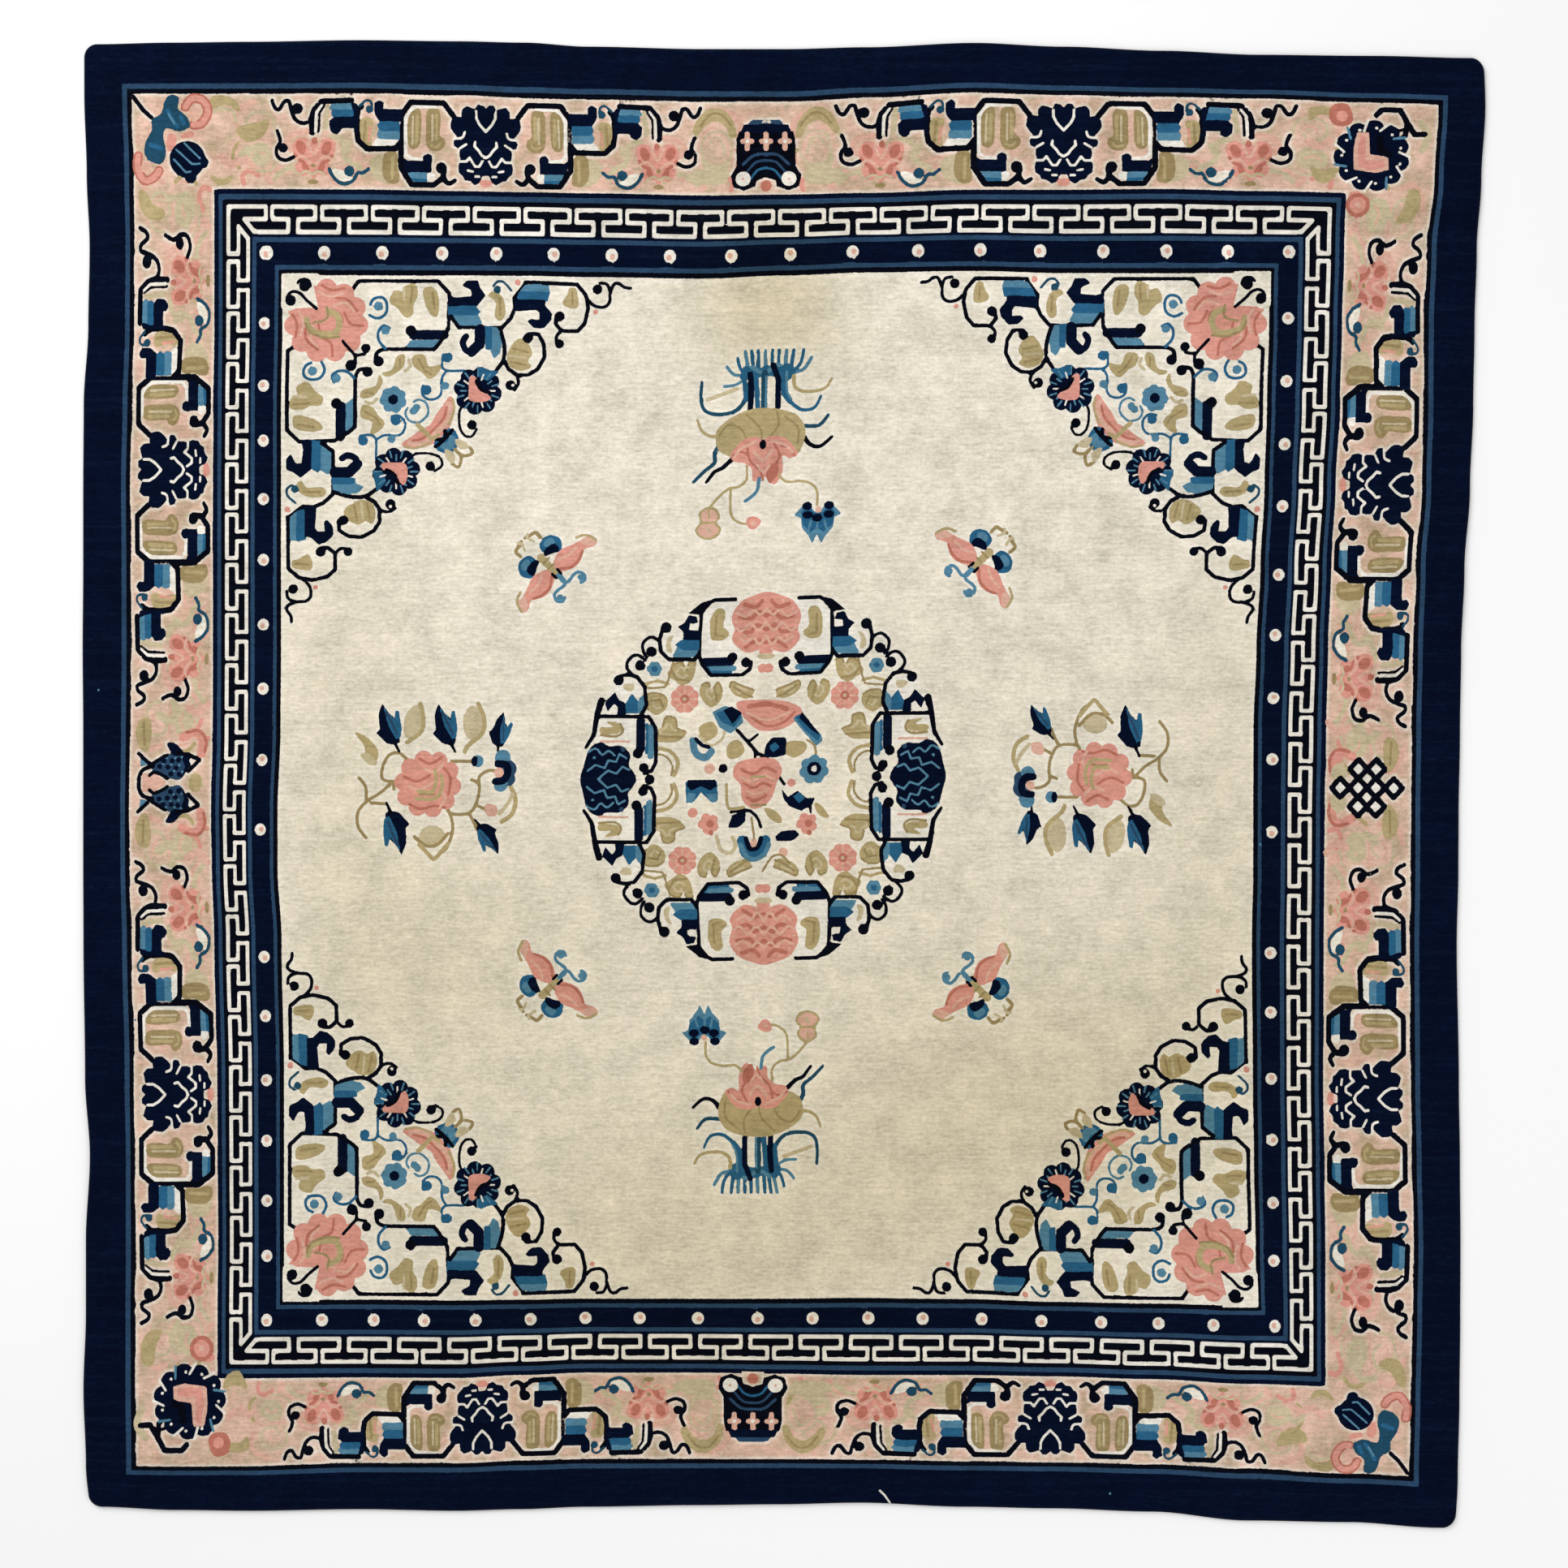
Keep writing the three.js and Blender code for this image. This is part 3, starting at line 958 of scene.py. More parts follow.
    def peony(self, arms: Brush, middle: Brush) -> None:
        """The pink peony in the corner, its golden heart, and the black stems about it."""
        middle.scallop(Yarn.PINK, 54, 56, 52, 11, 13, 8)
        arms.bend(Yarn.BLUSH, 3, "44,20 58,26 74,22", "62,38 78,34 88,44")
        arms.bend(Yarn.ROSE, 3.4, "48,12 60,18 76,16", "66,28 80,30 92,44", "76,46 84,60 100,62")
        arms.bend(Yarn.ROSE, 3, "60,44 72,48 74,58")
        middle.bend(Yarn.GOLD, 7, "30,54 34,66 48,72 66,72")
        middle.bend(Yarn.GOLD, 8, "56,44 68,50 70,62 66,70")
        middle.bend(Yarn.OLIVE, 3, "28,58 34,70 52,77 70,76", "54,38 56,50 50,56 38,58")
        middle.area(Yarn.FIELD, "-2,-2 44,-2 38,14 44,40 16,40 10,44 -2,40")
        middle.curl(Yarn.BLACK, "27,13", 7, 4, "18,9 23,5 31,6 34,13")
        middle.curl(Yarn.BLACK, "10,31", 6.8, 4, "42,41 30,31 21,22 12,20 6,25 6,33")
        middle.line(Yarn.BLACK, 4, "74,81 90,99 91,108", "90,99 102,97 103,92")
        middle.dot(Yarn.BLACK, 103, 90, 6)
        middle.dot(Yarn.BLACK, 85, 111, 7)


@dataclass(frozen=True)
class Medallion:
    """The round medallion: a ring drawn as one quarter and mirrored, with flowers loose inside it."""

    u: float = -3.5
    v: float = 11.0
    wide: float = 0.98  # squares of chart to a drawn square
    tall: float = 0.972

    def draw(self, chart: Chart) -> None:
        """Paints the quarters, then the flowers."""
        middle = Spot(self.u, self.v, (self.wide, 0), (0, -self.tall))
        upper = Spot(self.u, self.v, (self.wide, 0), (0, self.tall))
        quarters = Brush(chart, (middle, middle.mirrored(), upper, upper.mirrored()))
        self.fillers(quarters)
        self.end_bracket(quarters)
        self.shoulder(quarters)
        self.side_bracket(quarters)
        self.peonies(quarters)
        self.posy(Brush(chart, (middle,)))

    def fillers(self, brush: Brush) -> None:
        """Golden leaves, pink rosettes and little blue flowers inside the ring."""
        for leaf in (
            "88,148 96,150 100,140 106,150 116,146 124,134 114,126 104,120 92,128",
            "124,104 134,110 148,108 148,92 138,82 126,88 122,98",
            "54,112 60,124 68,112 72,124 82,118 80,104 68,92 56,100",
            "14,112 28,118 42,124 44,114 36,106 20,102",
            "98,60 110,66 112,78 124,80 130,66 144,62 142,50 112,48",
        ):
            brush.blob(Yarn.GOLD, leaf)
            outline = eased(points(leaf), True)
            brush.stroke(Yarn.OLIVE, outline[: len(outline) // 2], 2.6)
            middle = points(leaf).mean(0)
            brush.stroke(Yarn.CELADON, middle + 0.45 * (outline[::4] - middle), 2.6)
        brush.bend(Yarn.OLIVE, 3, "16,104 26,108 40,118")
        brush.line(Yarn.OLIVE, 3, "96,126 112,128 118,138", "128,92 132,102 144,100", "60,100 64,118",
            "104,54 136,56")
        brush.bend(Yarn.GOLD, 5, "134,40 118,36 108,22 112,6")
        brush.bend(Yarn.OLIVE, 2.8, "138,33 124,30 115,18 116,6")
        brush.line(Yarn.GOLD, 4, "122,122 136,126 150,122")
        brush.line(Yarn.OLIVE, 2.8, "116,152 122,128 126,118 150,116")
        brush.scallop(Yarn.PINK, 101, 103, 18.5, 8, 7, 22)
        for index in range(8):
            angle = math.radians(45 * index)
            brush.spoke(Yarn.BLUSH, 2.6, (101, 103), angle, 7, 14)
        brush.dot(Yarn.ROSE, 101, 103, 5.6)
        brush.dot(Yarn.CELADON, 101, 103, 2.4)
        brush.scallop(Yarn.SKY, 140, 141, 10, 6, 4.4)
        brush.dot(Yarn.BLUE, 140, 141, 4)

    def end_bracket(self, brush: Brush) -> None:
        """The bracket beside the pink peony."""
        brush.area(Yarn.IVORY, "20,226 62,226 80,212 82,156 68,136 24,134 24,150 30,162")
        brush.blob(Yarn.GOLD, "52,214 62,218 70,206 70,182 64,177 52,178 46,186 54,194")
        brush.line(Yarn.OLIVE, 2.8, "63,208 64,184 54,182")
        brush.line(Yarn.SKY, 7, "71,141 40,141")
        brush.line(Yarn.BLUE, 4, "77,148 70,137 44,136")
        brush.line(Yarn.NAVY, 11, "78,150 44,150")
        brush.dot(Yarn.BLACK, 42, 155, 6.5)
        brush.line(Yarn.BLACK, 5, "40,229 66,229 82,220 84,158 80,147 69,133 30,132 20,139 18,148")
        brush.area(Yarn.BLACK, "64,231 82,226 99,212 82,210")
        brush.dot(Yarn.BLACK, 25, 148, 6.4)

    def shoulder(self, brush: Brush) -> None:
        """The two hooked blue pieces that round the ring's shoulder, with a pair of curls between."""
        brush.area(Yarn.IVORY, "86,206 96,190 116,184 128,190 131,164 122,155 90,156 86,170")
        brush.area(Yarn.SKY, "86,157 118,157 110,172 86,170")
        brush.area(Yarn.BLUE, "84,165 105,165 115,172 104,180 84,180")
        brush.area(Yarn.NAVY,
            "82,178 104,178 104,188 112,195 103,200 98,210 88,208 86,200 96,199 97,191 82,190")
        brush.blob(Yarn.CELADON, "116,184 124,180 126,166 118,162 120,174")
        brush.line(Yarn.BLACK, 5, "85,160 90,153 122,153 132,163 134,178 131,190")
        brush.dot(Yarn.BLACK, 126, 194, 7)
        brush.area(Yarn.IVORY, "137,176 146,178 152,172 150,160 138,166",
            "158,154 166,156 172,148 170,138 158,140")
        brush.curl(Yarn.BLACK, "144,163", 6.8, 4.2, "133,174 139,180 147,181 155,173 154,162 150,156")
        brush.curl(Yarn.BLACK, "158,145", 6.8, 4.2, "152,152 160,158 168,157 175,148 174,140 167,133")
        brush.area(Yarn.IVORY, "154,84 152,116 162,128 180,128 200,106 204,84")
        brush.blob(Yarn.CELADON, "166,122 180,120 174,112 166,114")
        brush.area(Yarn.SKY, "151,84 151,110 158,104 164,84")
        brush.area(Yarn.BLUE, "160,84 160,100 168,110 177,94 177,84")
        brush.area(Yarn.NAVY,
            "174,80 176,97 184,101 189,111 196,104 202,98 198,86 193,92 190,96 185,92 186,80")
        brush.line(Yarn.BLACK, 5, "184,131 174,133 162,131 152,118 149,95 155,82")
        brush.dot(Yarn.BLACK, 185, 126, 6.6)

    def side_bracket(self, brush: Brush) -> None:
        """The bracket beside the navy peony."""
        brush.area(Yarn.IVORY, "209,78 152,78 138,64 138,14 150,12 160,30 164,42 214,44")
        brush.line(Yarn.BLUSH, 3, "206,48 170,48")
        brush.blob(Yarn.GOLD, "206,58 186,58 180,64 186,72 200,73 190,66 206,66")
        brush.bend(Yarn.OLIVE, 3, "206,56 186,55 178,62 182,71")
        brush.line(Yarn.SKY, 8, "144,66 143,30")
        brush.line(Yarn.BLUE, 4, "148,70 148,34")
        brush.line(Yarn.NAVY, 11, "156,75 156,38")
        brush.dot(Yarn.BLACK, 159, 33, 6.5)
        brush.line(Yarn.BLACK, 5, "212,80 146,80 137,66 136,22 141,11 150,8")
        brush.dot(Yarn.BLACK, 151, 15, 6.2)
        brush.stroke(Yarn.BLACK, points("206,100 211,82 215,56 225,40"), 9, 4)
        brush.dot(Yarn.BLACK, 143, 0, 6.4)

    def peonies(self, brush: Brush) -> None:
        """The pink peonies above and below, and the navy ones at the sides."""
        brush.blob(Yarn.PINK, "-8,232 22,231 36,222 44,206 40,190 43,178 34,166 22,160 8,163 -8,158")
        brush.bend(Yarn.ROSE, 5, "6,226 14,218 28,222", "0,206 10,212 18,204 34,206",
            "0,189 12,195 20,186 36,190")
        brush.bend(Yarn.ROSE, 4.4, "0,172 10,176 18,172 26,167")
        brush.bend(Yarn.BLUSH, 3, "0,216 8,208 16,214 26,206 38,212", "0,199 10,188 20,198 30,188 38,192",
            "0,182 8,170 16,180 24,174 34,180")
        for x, y in ((20, 226), (32, 216), (12, 200), (38, 200), (26, 181), (8, 164)):
            brush.dot(Yarn.BLUSH, x, y, 2)
        brush.blob(Yarn.CELADON, "-10,158 10,158 8,152 -8,152")
        brush.dot(Yarn.PINK, 4, 140, 6)
        brush.blob(Yarn.NAVY, "226,-8 226,20 219,40 206,47 196,42 178,42 168,30 170,18 163,8 165,-8")
        brush.bend(Yarn.SKY, 2.6, "222,34 212,39 204,31 196,36 188,30")
        brush.line(Yarn.SKY, 2.6, "173,27 182,32 186,22 196,24 200,14 212,18 222,10",
            "169,12 178,16 185,7 196,11 208,0")
        brush.dot(Yarn.SKY, 214, 27, 2.2)
        brush.dot(Yarn.SLATE, 178, 38, 3)

    def posy(self, brush: Brush) -> None:
        """The flowers in the middle, drawn loose."""
        self.petals(brush)
        self.stems(brush)
        self.heart(brush)
        self.small_blooms(brush)

    def petals(self, brush: Brush) -> None:
        """The pink fan with blue petals on either side, and golden leaves."""
        brush.blob(Yarn.PINK, "-36,-97 -10,-100 26,-98 48,-86 34,-68 12,-60 -8,-62 -24,-76")
        brush.bend(Yarn.ROSE, 6, "-20,-92 6,-94 28,-88")
        brush.bend(Yarn.ROSE, 3.4, "-16,-78 4,-66 26,-72 38,-84")
        brush.bend(Yarn.BLUSH, 2.8, "-22,-84 4,-74 32,-84")
        brush.area(Yarn.SKY, "-66,-86 -50,-94 -30,-86 -26,-72 -42,-58 -56,-66")
        brush.area(Yarn.BLUE, "-62,-84 -40,-92 -28,-80 -38,-66 -52,-72")
        brush.area(Yarn.NAVY, "-52,-88 -42,-93 -28,-84 -40,-70")
        brush.area(Yarn.SKY, "36,-76 50,-58 66,-40 74,-46 72,-54 48,-80")
        brush.area(Yarn.BLUE, "38,-78 52,-60 68,-46 72,-54 48,-82")
        brush.area(Yarn.NAVY, "44,-76 48,-84 72,-52 60,-60")
        brush.blob(Yarn.GOLD, "-82,-68 -66,-74 -58,-60 -70,-50 -80,-56")
        brush.bend(Yarn.CELADON, 3.4, "-82,-56 -68,-44 -54,-50 -50,-60")
        brush.blob(Yarn.GOLD, "-46,-44 -32,-50 -24,-36 -34,-26 -46,-28",
            "30,-46 50,-46 54,-36 40,-26 26,-32")
        brush.bend(Yarn.SKY, 9, "-90,-50 -86,-34 -74,-28 -66,-36")
        brush.bend(Yarn.NAVY, 5, "-86,-52 -78,-44 -70,-42")
        brush.bend(Yarn.OLIVE, 3, "54,-48 64,-40 66,-28")

    def stems(self, brush: Brush) -> None:
        """The dark twigs and leaves."""
        brush.line(Yarn.BLACK, 4.6, "-34,-62 -18,-44 -8,-32 4,-26")
        brush.line(Yarn.BLACK, 3.6, "-18,-48 -8,-56", "-12,-38 -10,-24")
        brush.area(Yarn.NAVY, "2,-42 10,-52 28,-52 28,-30 14,-26 0,-28")
        brush.area(Yarn.BLUE, "6,-40 14,-46 20,-40 12,-32")
        brush.dot(Yarn.BLACK, -51, -14, 6)
        brush.area(Yarn.NAVY, "24,14 32,24 44,16 56,26 66,26 62,36 48,42 34,36 26,26")
        brush.area(Yarn.BLUE, "38,24 46,18 54,26 46,32")
        brush.line(Yarn.BLACK, 3.4, "60,34 61,44")
        brush.line(Yarn.BLACK, 4, "20,-2 27,8")
        brush.area(Yarn.NAVY, "16,74 24,67 40,66 47,72 38,80 18,80", "-44,62 -38,46 -22,40 -20,52 -30,62")
        brush.bend(Yarn.BLACK, 4, "-40,42 -20,40 -8,48 -2,62")
        brush.area(Yarn.IVORY, "-22,48 -14,44 -8,74 -14,84 -20,66")
        brush.line(Yarn.OLIVE, 2.8, "-14,50 -10,80")

    def heart(self, brush: Brush) -> None:
        """The pink flower in the very middle."""
        brush.blob(Yarn.PINK, "-34,-20 -10,-26 14,-24 24,-10 18,4 12,24 0,36 -14,38 -26,26 -28,8 -38,-4")
        brush.bend(Yarn.ROSE, 4, "-28,-12 -12,-6 2,-14 16,-8")
        brush.bend(Yarn.ROSE, 3.6, "-24,6 -12,12 0,6 10,10")
        brush.bend(Yarn.ROSE, 4, "-20,24 -10,28 4,22")
        brush.bend(Yarn.BLUSH, 3, "-30,-4 -14,4 0,-4 14,2", "-20,16 -8,20 6,14")
        brush.line(Yarn.GOLD, 3, "-16,-2 2,-2")
        brush.line(Yarn.OLIVE, 2.8, "-14,34 4,34")

    def small_blooms(self, brush: Brush) -> None:
        """The blue flowers, the pink sprigs and the leaves about them."""
        brush.scallop(Yarn.SKY, 64, -10, 19, 7, 7, -90)
        brush.dot(Yarn.NAVY, 64, -11, 9)
        brush.dot(Yarn.IVORY, 64, -11, 4)
        brush.area(Yarn.BLUE, "-98,2 -58,2 -56,26 -62,30 -70,24 -78,16 -86,28 -96,30")
        brush.area(Yarn.SKY, "-94,16 -84,18 -88,30 -97,28", "-72,18 -58,18 -58,29 -66,28")
        brush.area(Yarn.NAVY, "-95,0 -60,0 -58,8 -66,14 -78,8 -90,14 -96,8")
        brush.bend(Yarn.GOLD, 4, "-46,6 -44,34 -36,38 -24,36")
        for x, y in ((-68, 56), (56, 58)):
            brush.scallop(Yarn.PINK, x, y, 14, 5, 6, 30)
            brush.dot(Yarn.ROSE, x + 2, y, 5)
            brush.dot(Yarn.ROSE, x + 3, y + 12, 3.5)
        brush.dot(Yarn.PINK, -88, 42, 6.5)
        brush.dot(Yarn.BLUSH, -68, -14, 7)
        brush.dot(Yarn.PINK, 36, 6, 5.5)
        brush.dot(Yarn.BLUSH, 26, 94, 6)
        brush.bend(Yarn.BLUE, 12, "-26,78 -22,94 -12,99 -2,94 4,78")
        brush.bend(Yarn.SKY, 6, "-28,84 -20,99 -10,103 2,97 8,84")
        brush.bend(Yarn.NAVY, 6, "-21,76 -17,88 -11,90 -5,86 -2,76")
        brush.oval(Yarn.BLUSH, -11, 82, 4, 6)
        brush.blob(Yarn.GOLD, "66,32 74,36 84,50 78,52 68,44", "2,38 14,40 24,50 22,58 8,50")
        brush.bend(Yarn.CELADON, 5, "-58,72 -52,90 -40,94 -34,84 -38,74")
        brush.bend(Yarn.OLIVE, 3, "0,118 12,100 24,98 34,108")


@dataclass(frozen=True)
class Lotus:
    """A lotus plant with its reeds, seed pod and blue iris. It is drawn once and turned about."""

    u: float = -12.0
    v: float = 423.7
    turned_u: float = -14.0
    turned_v: float = -388.0

    def draw(self, chart: Chart) -> None:
        """Paints the plant above the medallion and, turned round, below it."""
        spots = (
            Spot(self.u, self.v, (0.9915, 0), (0, -1.0016)),
            Spot(self.turned_u, self.turned_v, (-0.95, 0), (0, 0.97)),
        )
        brush = Brush(chart, spots)
        self.reeds(brush)
        self.flower(brush)
        self.tendrils(brush)
        self.iris(brush)

    def reeds(self, brush: Brush) -> None:
        """The fringe of water weed, the reeds, and the blades to either side."""
        for index, (x, lean) in enumerate(
            ((-25, 5), (-17, 3), (-9, 1), (0, 1), (9, 0), (17, 0), (26, -1), (35, -3))
        ):
            brush.line(Yarn.BLUE if index % 3 else Yarn.SKY, 4.2, f"{x},-116 {x + lean},-92", end=5.4)
        brush.bend(Yarn.BLUE, 4.2, "47,-116 44,-100 34,-88")
        brush.bend(Yarn.SKY, 4.4, "57,-106 48,-92 34,-88")
        brush.bend(Yarn.BLUE, 4, "-34,-108 -30,-94 -22,-88")
        brush.bend(Yarn.SKY, 4, "-47,-98 -38,-88 -24,-86")
        brush.bend(Yarn.SKY, 3.6, "-50,-74 -36,-75 -24,-82")
        brush.blob(Yarn.BLUE, "-30,-82 -24,-98 -10,-92 2,-98 14,-94 28,-100 38,-90 28,-78 8,-84 -10,-82")
        brush.bend(Yarn.SKY, 5, "-16,-96 0,-88 14,-98 28,-90")
        brush.bend(Yarn.TEAL, 5.4, "-18,-74 -26,-52 -40,-41 -62,-40 -74,-46 -78,-60 -77,-80", end=4)
        brush.bend(Yarn.BLUE, 11, "24,-92 24,-66 32,-52", end=6)
        brush.bend(Yarn.SKY, 3, "27,-90 28,-66 34,-54")
        brush.bend(Yarn.BLUE, 5, "32,-52 46,-42 62,-44 70,-58", end=3.4)
        brush.line(Yarn.BLUE, 6, "-10,-80 -8,-44")
        brush.line(Yarn.TEAL, 8, "0,-88 0,-40")
        brush.line(Yarn.SKY, 2.6, "2,-84 2,-44")
        brush.line(Yarn.BLUE, 6, "-25,-84 -22,-56")
        brush.line(Yarn.NAVY, 7, "-18,-88 -16,-70 -17,-43", "10,-98 17,-80 17,-46")
        brush.bend(Yarn.GOLD, 5, "36,-84 38,-70 52,-64 74,-67 83,-79", end=3.4)
        brush.bend(Yarn.CELADON, 5, "-70,-58 -52,-64 -34,-70")
        brush.bend(Yarn.GOLD, 5, "-52,-12 -66,-13 -77,-20 -82,-33", end=3)
        brush.bend(Yarn.TEAL, 6, "-51,-6 -60,8 -60,20 -72,30 -86,44", end=4)
        brush.line(Yarn.BLACK, 6, "-38,16 -50,27 -60,31 -70,44", end=4)
        brush.bend(Yarn.TEAL, 5.4, "50,-22 68,-22 79,-34", end=4)
        brush.bend(Yarn.BLACK, 6, "49,-10 57,1 70,4 84,-7", end=4)

    def flower(self, brush: Brush) -> None:
        """The golden leaf-cup and the pink flower."""
        brush.blob(Yarn.GOLD, "-58,-20 -42,-34 -16,-44 14,-44 40,-36 51,-18 48,2 40,14 24,4 8,-6 -8,-6"
                              " -24,4 -34,14 -52,8 -59,-4")
        brush.bend(Yarn.OLIVE, 2.8, "-56,-12 -44,-26 -28,-20 -20,-4", "-22,-38 -6,-22 -2,-8",
            "16,-40 18,-24 8,-10", "26,-34 42,-20 42,0")
        brush.blob(Yarn.PINK, "-40,10 -26,-6 -10,-10 -2,-6 10,-10 26,-8 38,4 42,14 32,18 24,14 24,34"
                              " 14,50 2,40 -12,46 -14,30 -24,22 -36,20")
        brush.bend(Yarn.ROSE, 3, "-20,4 -16,20 -4,32 0,44", "12,-2 20,14 12,28 2,30", "-38,12 -28,8 -20,12",
            "22,2 34,6 38,14")
        brush.blob(Yarn.ROSE, "8,26 18,24 18,38 8,48 4,38")
        brush.bend(Yarn.BLUSH, 4, "-12,8 0,20 10,8")
        brush.bend(Yarn.BLUSH, 3.4, "-36,14 -28,4 -18,0 -10,-4", "8,-4 18,-2 28,2 36,10")
        brush.bend(Yarn.BLUSH, 3, "-8,24 0,34 8,26")
        brush.oval(Yarn.BLACK, -1, 0, 4.4, 6)

    def tendrils(self, brush: Brush) -> None:
        """The tan stems with the pod and the bud."""
        brush.bend(Yarn.GOLD, 3.4, "-20,26 -20,42 -30,51 -42,53 -54,62 -66,76",
            "-40,53 -40,78 -36,90 -24,97 -14,96", "20,38 28,46 46,46 60,50 67,60 67,76")
        brush.bend(Yarn.SKY, 4.2, "-5,42 -7,56 -14,64 -22,69")
        brush.blob(Yarn.GOLD, "-67,74 -56,78 -52,88 -56,94 -50,103 -58,114 -74,114 -83,104 -77,93 -79,82")
        brush.blob(Yarn.BLUSH, "-67,77 -59,81 -55,88 -60,95 -53,103 -61,111 -73,111 -80,103 -73,94 -76,84")
        brush.line(Yarn.GOLD, 2.8, "-74,94 -58,94")
        brush.line(Yarn.GOLD, 2.6, "-67,76 -66,88")
        brush.line(Yarn.CELADON, 2.8, "-68,100 -64,106")
        brush.blob(Yarn.PINK, "-20,92 -12,88 -1,94 -8,104 -16,103")
        brush.blob(Yarn.BLUSH, "-15,95 -9,94 -8,100 -13,100")

    def iris(self, brush: Brush) -> None:
        """The blue flower at the end of the right stem."""
        brush.area(Yarn.SKY, "39,88 49,77 56,71 64,84 72,84 80,71 88,78 98,88 89,92 88,104 78,116"
                             " 74,124 68,112 63,124 58,114 49,104 48,92")
        brush.area(Yarn.BLUE, "48,84 56,74 64,86 74,86 82,74 90,86 88,100 76,110 68,104 60,110 50,100")
        for x, y in ((55, 77), (82, 77), (56, 88), (82, 88), (68, 92)):
            brush.oval(Yarn.NAVY, x, y, 6.5, 5)
        brush.oval(Yarn.BLUSH, 69, 82, 4, 4)
        brush.line(Yarn.SKY, 3, "68,98 68,110", "60,96 58,106", "77,96 80,106")


@dataclass(frozen=True)
class Spray:
    """A spray of one pink peony with tan stems and blue buds. It is drawn once and turned about."""

    u: float = -415.4
    v: float = 6.0
    turned_u: float = 410.0
    turned_v: float = 15.0
    buds: tuple[tuple[float, float, float, float], ...] = (
        (-52, -73, -6, 1), (18, -73, -6, 1), (88, -66, 22, 0.82), (-42, 62, 178, 1.05), (74, 70, 160, 0.82),
    )

    def draw(self, chart: Chart) -> None:
        """Paints the left spray and, turned round, the right one."""
        spots = (
            Spot(self.u, self.v, (0.9915, 0), (0, -1.0016)),
            Spot(self.turned_u, self.turned_v, (-0.97, 0), (0, 0.99)),
        )
        brush = Brush(chart, spots)
        self.stems(brush)
        self.leaves(brush)
        for x, y, turn, size in self.buds:
            self.bud(Brush(chart, tuple(spot.moved(x, y).turned(turn, size) for spot in spots)))
        self.blue_flower(brush)
        self.peony(brush)

    def bud(self, brush: Brush) -> None:
        """One bud: navy on one side, blue on the other, with its pointed tips."""
        brush.area(Yarn.NAVY, "-7,-26 -13,-12 -13,6 -18,10 -6,24 4,27 11,24 12,0 0,-14")
        brush.area(Yarn.BLUE, "-6,-22 2,-10 6,-4 9,-16 13,-14 14,6 12,18 6,20 -2,2")
        brush.line(Yarn.SLATE, 3, "-3,-14 4,2 8,14")
        brush.line(Yarn.BLACK, 4.4, "4,24 9,36", end=3)

    def stems(self, brush: Brush) -> None:
        """The tan stems."""
        for stem in (
            "-8,-30 -26,-28 -40,-37 -52,-34 -59,-20 -59,-5 -46,0 -44,8",
            "-46,-2 -60,12 -76,22 -88,36 -88,54 -78,68",
            "-88,-6 -79,6 -78,22",
            "-72,25 -52,26",
            "26,-27 50,-27",
            "24,24 26,37 50,37 60,22 62,2 52,-4",
            "62,0 62,-8 72,-15 84,-15",
            "26,36 30,56 22,80 10,90",
            "50,37 56,48 60,58",
            "58,26 72,34",
            "-26,-28 -24,-16",
        ):
            brush.bend(Yarn.OLIVE, 4, stem)

    def leaves(self, brush: Brush) -> None:
        """The pale leaves with one dark edge each."""
        brush.blob(Yarn.CELADON, "-34,-60 -32,-84 -20,-96 -12,-90 -10,-68 -22,-54")
        brush.bend(Yarn.GOLD, 5.5, "-14,-98 -10,-82 -12,-64 -30,-50")
        brush.blob(Yarn.CELADON, "42,-60 40,-82 50,-96 60,-88 64,-70 52,-54")
        brush.bend(Yarn.GOLD, 5.5, "58,-98 66,-80 64,-62 46,-46 42,-38")
        brush.blob(Yarn.GOLD, "-96,-62 -80,-56 -66,-40 -68,-26 -80,-32 -84,-46")
        brush.blob(Yarn.CELADON, "-88,-34 -76,-22 -66,-24 -78,-36")
        brush.oval(Yarn.CELADON, 4, 64, 16, 12)
        brush.bend(Yarn.OLIVE, 4.4, "-18,66 -6,76 10,76 24,62")
        brush.bend(Yarn.GOLD, 5, "-12,76 0,88 6,94 14,86 24,74")
        brush.blob(Yarn.BLUSH, "70,26 84,28 84,40 72,40")
        brush.bend(Yarn.GOLD, 5.5, "102,6 108,20 104,38 90,48")
        brush.bend(Yarn.CELADON, 5, "88,38 98,26 104,14")

    def blue_flower(self, brush: Brush) -> None:
        """The side-on blue flower and the round bud by it."""
        brush.dot(Yarn.SKY, 90, -31, 10)
        brush.dot(Yarn.SLATE, 97, -17, 11)
        brush.dot(Yarn.SLATE, 98, -5, 9)
        brush.dot(Yarn.SKY, 89, 2, 9)
        brush.bend(Yarn.NAVY, 9, "84,-24 95,-22 97,-12 92,-3 82,-2")
        brush.oval(Yarn.BLUSH, 86, -13, 6, 6)
        brush.dot(Yarn.SKY, 59, -27, 7.5)
        brush.oval(Yarn.NAVY, 55, -27, 4, 7)

    def peony(self, brush: Brush) -> None:
        """The pink peony with its golden folded heart."""
        brush.scallop(Yarn.PINK, -2, 1, 42, 10, 11, 5)
        brush.bend(Yarn.ROSE, 3.6, "-32,-8 -16,-2 0,-10", "-14,-30 0,-24 14,-32", "18,-18 26,-6 24,14",
            "-24,26 -10,32 6,28 20,30")
        brush.bend(Yarn.BLUSH, 3.2, "-26,4 -12,8 4,0", "-8,-18 6,-14 16,-24", "14,8 20,18 14,30")
        brush.bend(Yarn.GOLD, 4.4, "-14,10 4,10 8,-4 6,-16", "-16,19 8,19 16,4 14,-10")
        brush.line(Yarn.OLIVE, 2.6, "-12,14 8,14")


